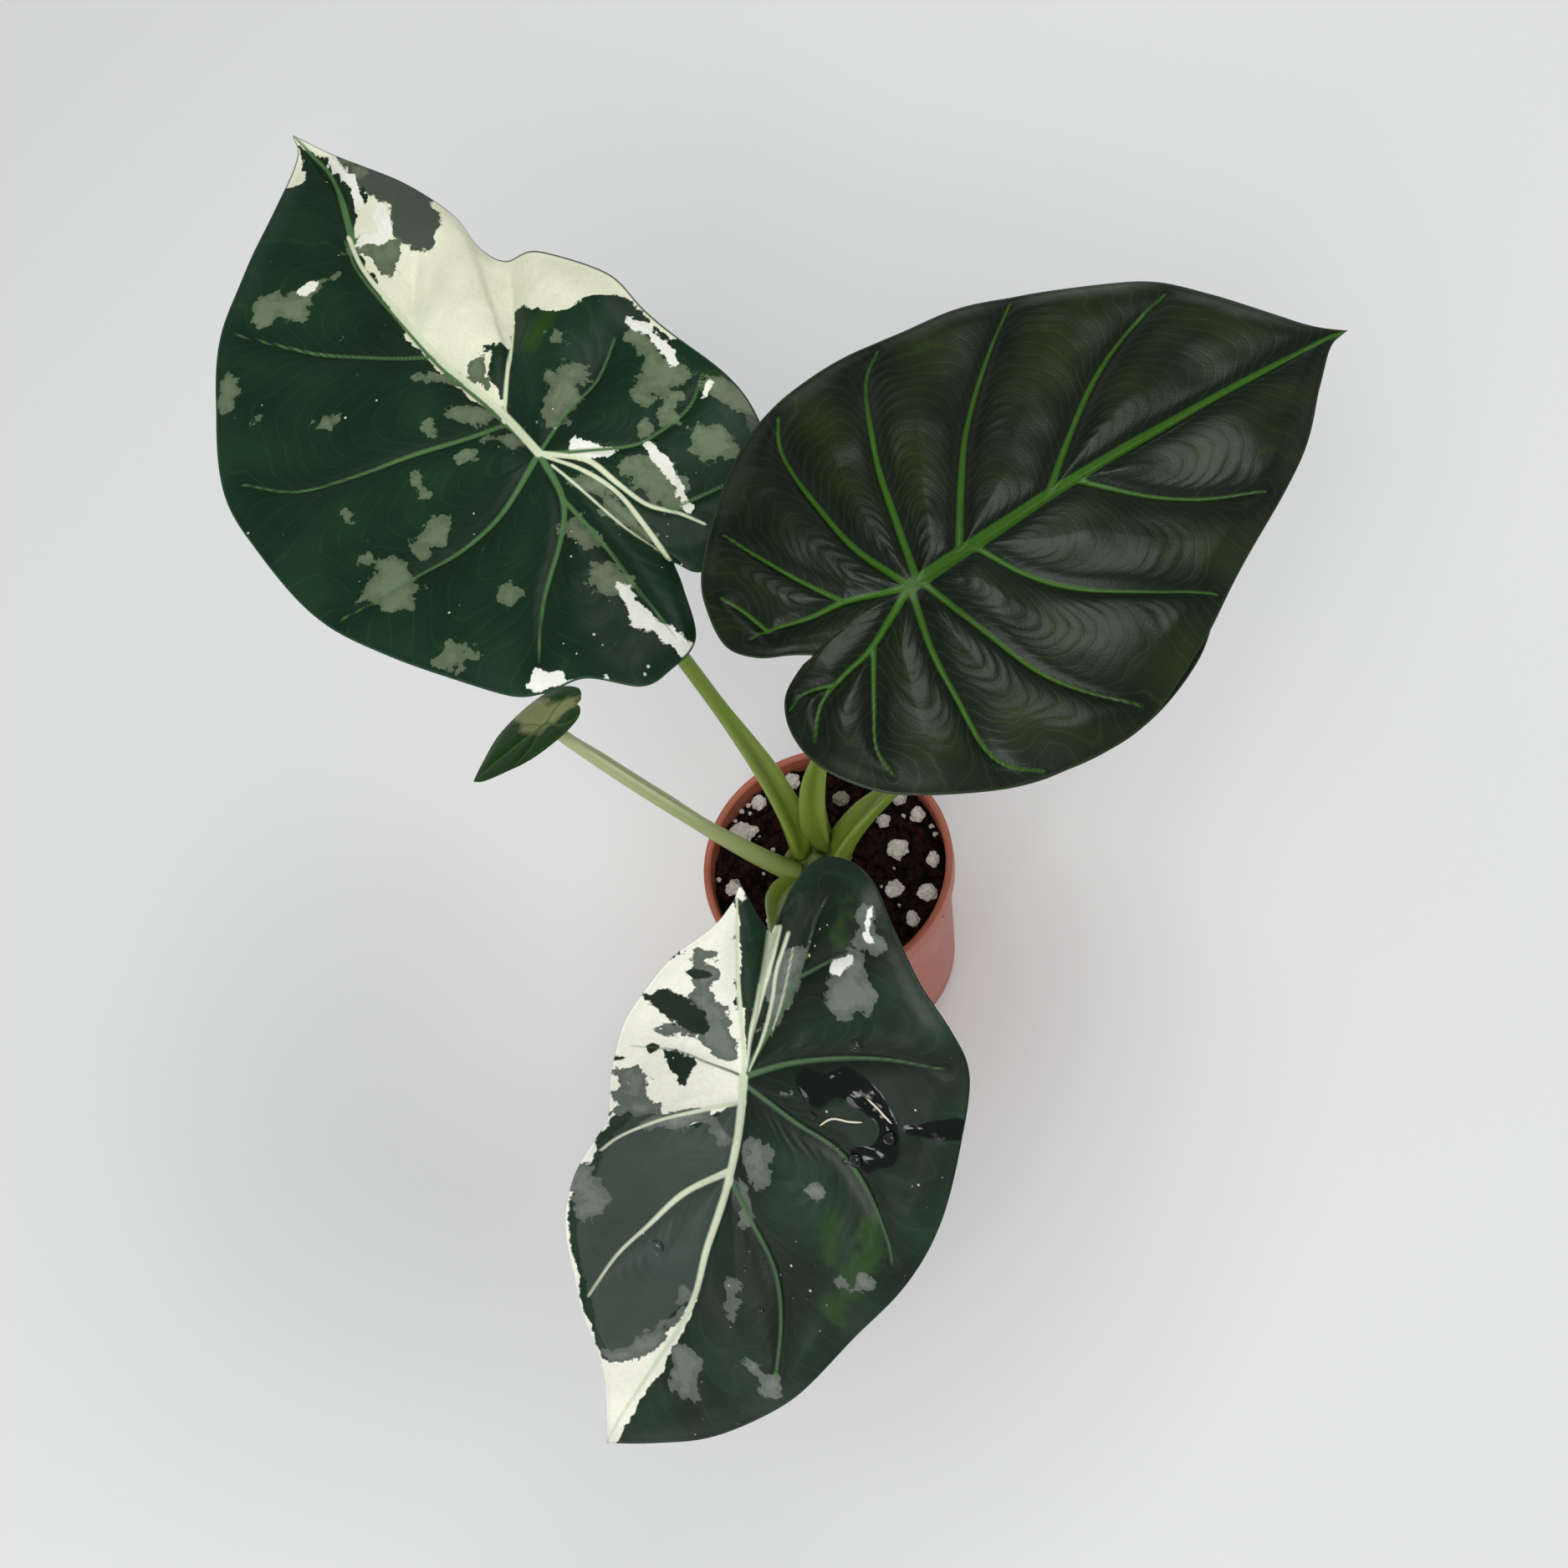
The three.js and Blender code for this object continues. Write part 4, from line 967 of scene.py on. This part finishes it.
def mixShape(turn, out):
    low = mixLow.z / mm
    footRadius = mixRadius - mix["footStep"]
    topShare, wallShare = mix["topShare"], mix["wallShare"]
    angle = turn * 2 * math.pi
    onTop = out <= topShare
    wall = np.clip((out - topShare) / wallShare, 0, 1)
    base = np.clip((out - topShare - wallShare) / (1 - topShare - wallShare), 0, 1)
    lower = np.where(base > 0, footRadius * (1 - base),
                     mixRadius + (footRadius - mixRadius) * wall)
    reach = np.where(onTop, mixRadius * out / topShare, lower)
    x, y = reach * np.cos(angle), reach * np.sin(angle)
    bumps = np.array([mixHeight(a, b) if top else 0.0 for a, b, top in zip(x, y, onTop)])
    z = np.where(onTop, mixTop + bumps * softStep(0, 0.02, topShare + 0.02 - out) - 0.3,
                 np.where(base > 0, low, mixTop + (low - mixTop) * wall))
    return np.column_stack([x, y, z]), {}


# Coir and composted bark: nearly black when moist, with rusty fibres and crumbs. Pumice is the
# same broken grain in a pale stone.
def crumbMaterial(name, deep, light, grainMm, roughness):
    material, tree, surface = newMaterial(name, {"Roughness": roughness,
                                                 "Specular IOR Level": 0.12})
    place = addNode(tree, "ShaderNodeTexCoord").outputs["Object"]
    crumbs = addNode(tree, "ShaderNodeTexNoise", {
        "Scale": 1 / (grainMm * mm), "Detail": 8.0, "Roughness": 0.7}, {"Vector": place}).outputs["Fac"]
    cells = addNode(tree, "ShaderNodeTexVoronoi", {"Scale": 1 / (grainMm * 0.6 * mm)},
                    {"Vector": place}).outputs["Distance"]
    share = addNode(tree, "ShaderNodeMapRange", {"From Min": 0.42, "From Max": 0.72},
                    {"Value": crumbs}).outputs[0]
    colour = addNode(tree, "ShaderNodeMix", {
        "data_type": "RGBA", 6: linearColour(deep), 7: linearColour(light)}, {0: share}).outputs[2]
    tree.links.new(colour, surface.inputs["Base Color"])
    height = addNode(tree, "ShaderNodeMath", {"operation": "ADD"}, {0: crumbs, 1: cells}).outputs[0]
    bump = addNode(tree, "ShaderNodeBump", {"Strength": 0.8, "Distance": grainMm * 0.4 * mm},
                   {"Height": height})
    tree.links.new(bump.outputs["Normal"], surface.inputs["Normal"])
    return material


moistMix = crumbMaterial("moistCoirMix", "#050302", "#1c0d09", 2.2, 0.9)
barkCrumb = crumbMaterial("compostedBark", "#0d0604", "#3a1a11", 2.0, 0.8)
pumiceStone = crumbMaterial("dustyPumice", "#c4bab0", "#f4f0ea", 1.1, 0.95)
mossyPumice = crumbMaterial("mossyPumice", "#7d7d68", "#b5b09b", 1.1, 0.95)
piece = wrappedGrid("mixBed", mix["sides"], mix["rings"], mixShape)
turnOutwards(piece)
piece.data.materials.append(moistMix)
placeInFrame(piece, "potting_mix")


def openAt(x, y, margin):
    clearOfCrown = math.hypot(x - crownMiddle[0], y - crownMiddle[1]) > mix["crownClear"] + margin
    return clearOfCrown and math.hypot(x, y) < mixRadius - margin


# One crumb is modelled, then copied over the mix, each copy with its own mesh, and joined
def scatterCrumbs(crumb, name, count, sizes, stretch, material):
    copies = []
    while len(copies) < count:
        reach, angle = mixRadius * math.sqrt(random.random()), random.random() * 2 * math.pi
        x, y = reach * math.cos(angle), reach * math.sin(angle)
        size = random.uniform(*sizes)
        if not openAt(x, y, size * 0.6):
            continue
        turn = (Matrix.Rotation(random.uniform(0, 6.28), 4, "Z")
                @ Matrix.Rotation(random.uniform(-0.6, 0.6), 4, "X"))
        scale = Matrix.Diagonal((size * stretch * mm, size * mm, size * 0.7 * mm, 1))
        spot = Vector((x, y, mixTop + mixHeight(x, y) + size * 0.12)) * mm
        copy = bpy.data.objects.new(f"{name}Copy", crumb.data.copy())
        copy.data.transform(Matrix.Translation(spot) @ turn @ scale)
        bpy.context.scene.collection.objects.link(copy)
        copies.append(copy)
    joined = joinPieces(copies, name)
    joined.data.materials.clear()
    joined.data.materials.append(material)
    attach(joined, "root")


def roughLump(name, levels, seed, depth):
    bpy.ops.object.select_all(action="DESELECT")
    bpy.ops.mesh.primitive_ico_sphere_add(subdivisions=levels, radius=1, location=(0, 0, 0))
    lump = bpy.context.object
    lump.name = name
    for vertex in lump.data.vertices:
        spot = vertex.co.copy()
        shift = Vector((seed * 3.7, seed * 1.3, seed * 2.9))
        push = noise.noise(spot * 1.3 + shift) + 0.45 * noise.noise(spot * 3.1 + shift)
        vertex.co = spot * (1 + depth * push)
    return lump


crumb = roughLump("crumb", 2, 1, 0.55)
# name, how many, smallest and largest size in mm, how long for its width, and material
for scatter in (("barkCrumbs", 420, (0.9, 2.6), 1.6, barkCrumb),
                ("coirShreds", 160, (0.4, 0.8), 6, barkCrumb),
                ("pumiceGrit", 70, (0.5, 1.1), 1.1, pumiceStone)):
    scatterCrumbs(crumb, *scatter)
bpy.data.objects.remove(crumb)
print("mix and crumbs")


# Pumice: a frothy volcanic stone, all broken bubbles, chalky and matt
pumice = dict(chunks=17, mossy=(14, 15, 16), levels=5, depth=0.34,
              poreSizes=(0.34, 0.17), poreDepths=(0.09, 0.045))
for number in range(1, pumice["chunks"] + 1):
    node = f"pumice_chunk_{number:02d}"
    low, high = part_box(node)
    lump = roughLump(f"pumiceLump{number:02d}", pumice["levels"], number, pumice["depth"])
    for vertex in lump.data.vertices:
        direction = vertex.co.normalized()
        for size, depth in zip(pumice["poreSizes"], pumice["poreDepths"]):
            gap = noise.voronoi(direction / size + Vector((number, 0, 0)))[0][0]
            vertex.co -= direction * depth * max(0.0, 1 - gap / 0.55)
    lows = np.array([min(vertex.co[axis] for vertex in lump.data.vertices) for axis in range(3)])
    highs = np.array([max(vertex.co[axis] for vertex in lump.data.vertices) for axis in range(3)])
    fit = np.array(high - low) / (highs - lows)
    middle = np.array((low + high) / 2) - fit * (lows + highs) / 2
    lump.data.transform(Matrix.Translation(middle) @ Matrix.Diagonal((*fit, 1)))
    lump.data.polygons.foreach_set("use_smooth", [True] * len(lump.data.polygons))
    lump.data.materials.append(mossyPumice if number in pumice["mossy"] else pumiceStone)
    placeInFrame(lump, node)
print("pumice")


# Drops on the wet blade: place across and along it, and half width, in mm
drops = [(-30, -32, 2.2), (6, 73, 2.4), (-11, 22, 1.3), (-50, -9, 2.2), (-43, 4, 2.4),
         (-36, 5, 1.5), (-40, 7, 1.2), (-26, -3, 1.4), (-62, 38, 1.0), (-58, 46, 0.8),
         (-24, 62, 0.7), (-34, 72, 0.8), (-12, 12, 0.8), (-46, 58, 0.7)]
wetNumber = 3
wetLeaf = leaves[wetNumber - 1]
wetAxes, wetSeat = bladeAxes(wetLeaf), bladeSeat(wetNumber, wetLeaf)
wetSkin = bpy.data.objects[f"blade{wetNumber}"]


def onWetBlade(across, along):
    aim = wetSeat + np.array([across, along, 60]) @ wetAxes
    return wetSkin.ray_cast(Vector(aim) * mm, Vector(-wetAxes[2]))[1:3]


waterDrops = []
for across, along, size in drops:
    spot, normal = onWetBlade(across, along)
    bpy.ops.object.select_all(action="DESELECT")
    bpy.ops.mesh.primitive_uv_sphere_add(segments=28, ring_count=16, radius=size * mm)
    drop = bpy.context.object
    turn = normal.to_track_quat("Z", "Y").to_matrix().to_4x4()
    drop.data.transform(Matrix.Translation(spot + normal * 0.12 * size * mm) @ turn
                        @ Matrix.Diagonal((1, 1, 0.55, 1)))
    drop.data.polygons.foreach_set("use_smooth", [True] * len(drop.data.polygons))
    waterDrops.append(drop)
piece = joinPieces(waterDrops, "waterDrops")
# Clean water: clear and mirror smooth
water = newMaterial("waterDrop", {"Base Color": (1, 1, 1, 1), "Roughness": 0.02, "IOR": 1.333,
                                  "Transmission Weight": 1.0})[0]
piece.data.materials.append(water)
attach(piece, "root")

# Two loose fibres lying in the water
fibre = dict(radius=0.32, lift=0.3, sides=10, rows=48)
fibres = [[(-29, -1), (-32, -6), (-37, -8), (-41, -10)], [(-39, -18), (-44, -16), (-49, -14)]]


def fibreShape(line):
    stops = evenLine([(*place, 0) for place in line], fibre["rows"])
    casts = [onWetBlade(across, along) for across, along, _ in stops]
    normals = np.array([normal for _, normal in casts])
    middle = np.array([spot for spot, _ in casts]) / mm + normals * fibre["lift"]
    ahead = np.gradient(middle, axis=0)
    aside = np.cross(ahead / np.linalg.norm(ahead, axis=1)[:, None], normals)

    def shape(turn, out):
        row = np.round(out * fibre["rows"]).astype(int)
        angle = turn * 2 * math.pi
        radius = fibre["radius"] * (1 - (2 * out - 1) ** 8)
        places = (middle[row] + normals[row] * (radius * np.cos(angle))[:, None]
                  + aside[row] * (radius * np.sin(angle))[:, None])
        return places, {}

    return shape


# Root fibre: pale, matt and slightly tan
rootFibre = newMaterial("rootFibre", {"Base Color": linearColour("#d9cfb8"), "Roughness": 0.6})[0]
for number, line in enumerate(fibres, 1):
    piece = wrappedGrid(f"looseFibre{number}", fibre["sides"], fibre["rows"], fibreShape(line))
    turnOutwards(piece)
    piece.data.materials.append(rootFibre)
    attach(piece, "root")
print("water")


# Studio: a plain pale floor, soft boxes and a pale room
studio = dict(floor="#e5e5e4", world="#f3f5fa", worldPower=0.55, floorSize=8,
              shadeAt=(0.35, 0.52, 0.78), shade=0.12)
bpy.ops.object.select_all(action="DESELECT")
bpy.ops.mesh.primitive_plane_add(size=studio["floorSize"], location=(0, 0, 0))
floor = bpy.context.object
floor.name = "studioFloor"
# Backdrop paper: pale and matt
paper = newMaterial("paleBackdropPaper", {"Base Color": linearColour(studio["floor"]),
                                          "Roughness": 0.9})[0]
floor.data.materials.append(paper)

world = bpy.data.worlds.new("studioAir")
bpy.context.scene.world = world
world.use_nodes = True
world.node_tree.nodes["Background"].inputs["Color"].default_value = linearColour(studio["world"])
# one side of the room is dim, so the glossy blades keep their depth
room = world.node_tree
sky = addNode(room, "ShaderNodeTexCoord").outputs["Generated"]
shadeSide = addNode(room, "ShaderNodeVectorMath", {
    "operation": "DOT_PRODUCT", 1: studio["shadeAt"]}, {0: sky}).outputs["Value"]
power = addNode(room, "ShaderNodeMapRange", {
    "interpolation_type": "SMOOTHSTEP", "From Min": 0.62, "From Max": 0.9,
    "To Min": studio["worldPower"], "To Max": studio["worldPower"] * studio["shade"]},
    {"Value": shadeSide}).outputs[0]
room.links.new(power, room.nodes["Background"].inputs["Strength"])

# place, what it faces, size and power of each soft box
softBoxes = dict(
    key=((0.79, 0.66, 1.94), (0, 0, 0.2), 0.9, 15),
    fill=((-0.6, -1.4, 2.3), (0, 0, 0.2), 1.4, 36),
    window=((-1.55, -1.35, 0.72), (0, -0.15, 0.3), 0.24, 2.4),
)
for name, (spot, aim, size, power) in softBoxes.items():
    light = bpy.data.lights.new(name, "AREA")
    light.energy, light.size = power, size
    lamp = bpy.data.objects.new(name, light)
    bpy.context.scene.collection.objects.link(lamp)
    lamp.location = spot
    lamp.rotation_euler = (Vector(aim) - Vector(spot)).to_track_quat("-Z", "Y").to_euler()

camera = bpy.data.objects.new("camera", bpy.data.cameras.new("camera"))
bpy.context.scene.collection.objects.link(camera)
bpy.context.scene.camera = camera
view = dict(spot=(-0.0057, -0.3488, 0.9069), down=64, roll=20, lens=48, sensor=36, near=0.02,
            far=30)
camera.data.sensor_width = view["sensor"]
camera.data.lens = view["lens"]
camera.data.clip_start, camera.data.clip_end = view["near"], view["far"]
down, roll = math.radians(view["down"]), math.radians(view["roll"])
ahead = Vector((0, math.cos(down), -math.sin(down)))
upright = Vector((0, math.sin(down), math.cos(down)))
right = math.cos(roll) * Vector((1, 0, 0)) - math.sin(roll) * upright
up = math.sin(roll) * Vector((1, 0, 0)) + math.cos(roll) * upright
facing = Matrix((right, up, -ahead)).transposed().to_4x4()
camera.matrix_world = Matrix.Translation(view["spot"]) @ facing
bpy.context.scene.view_settings.view_transform = "Standard"

print("done")
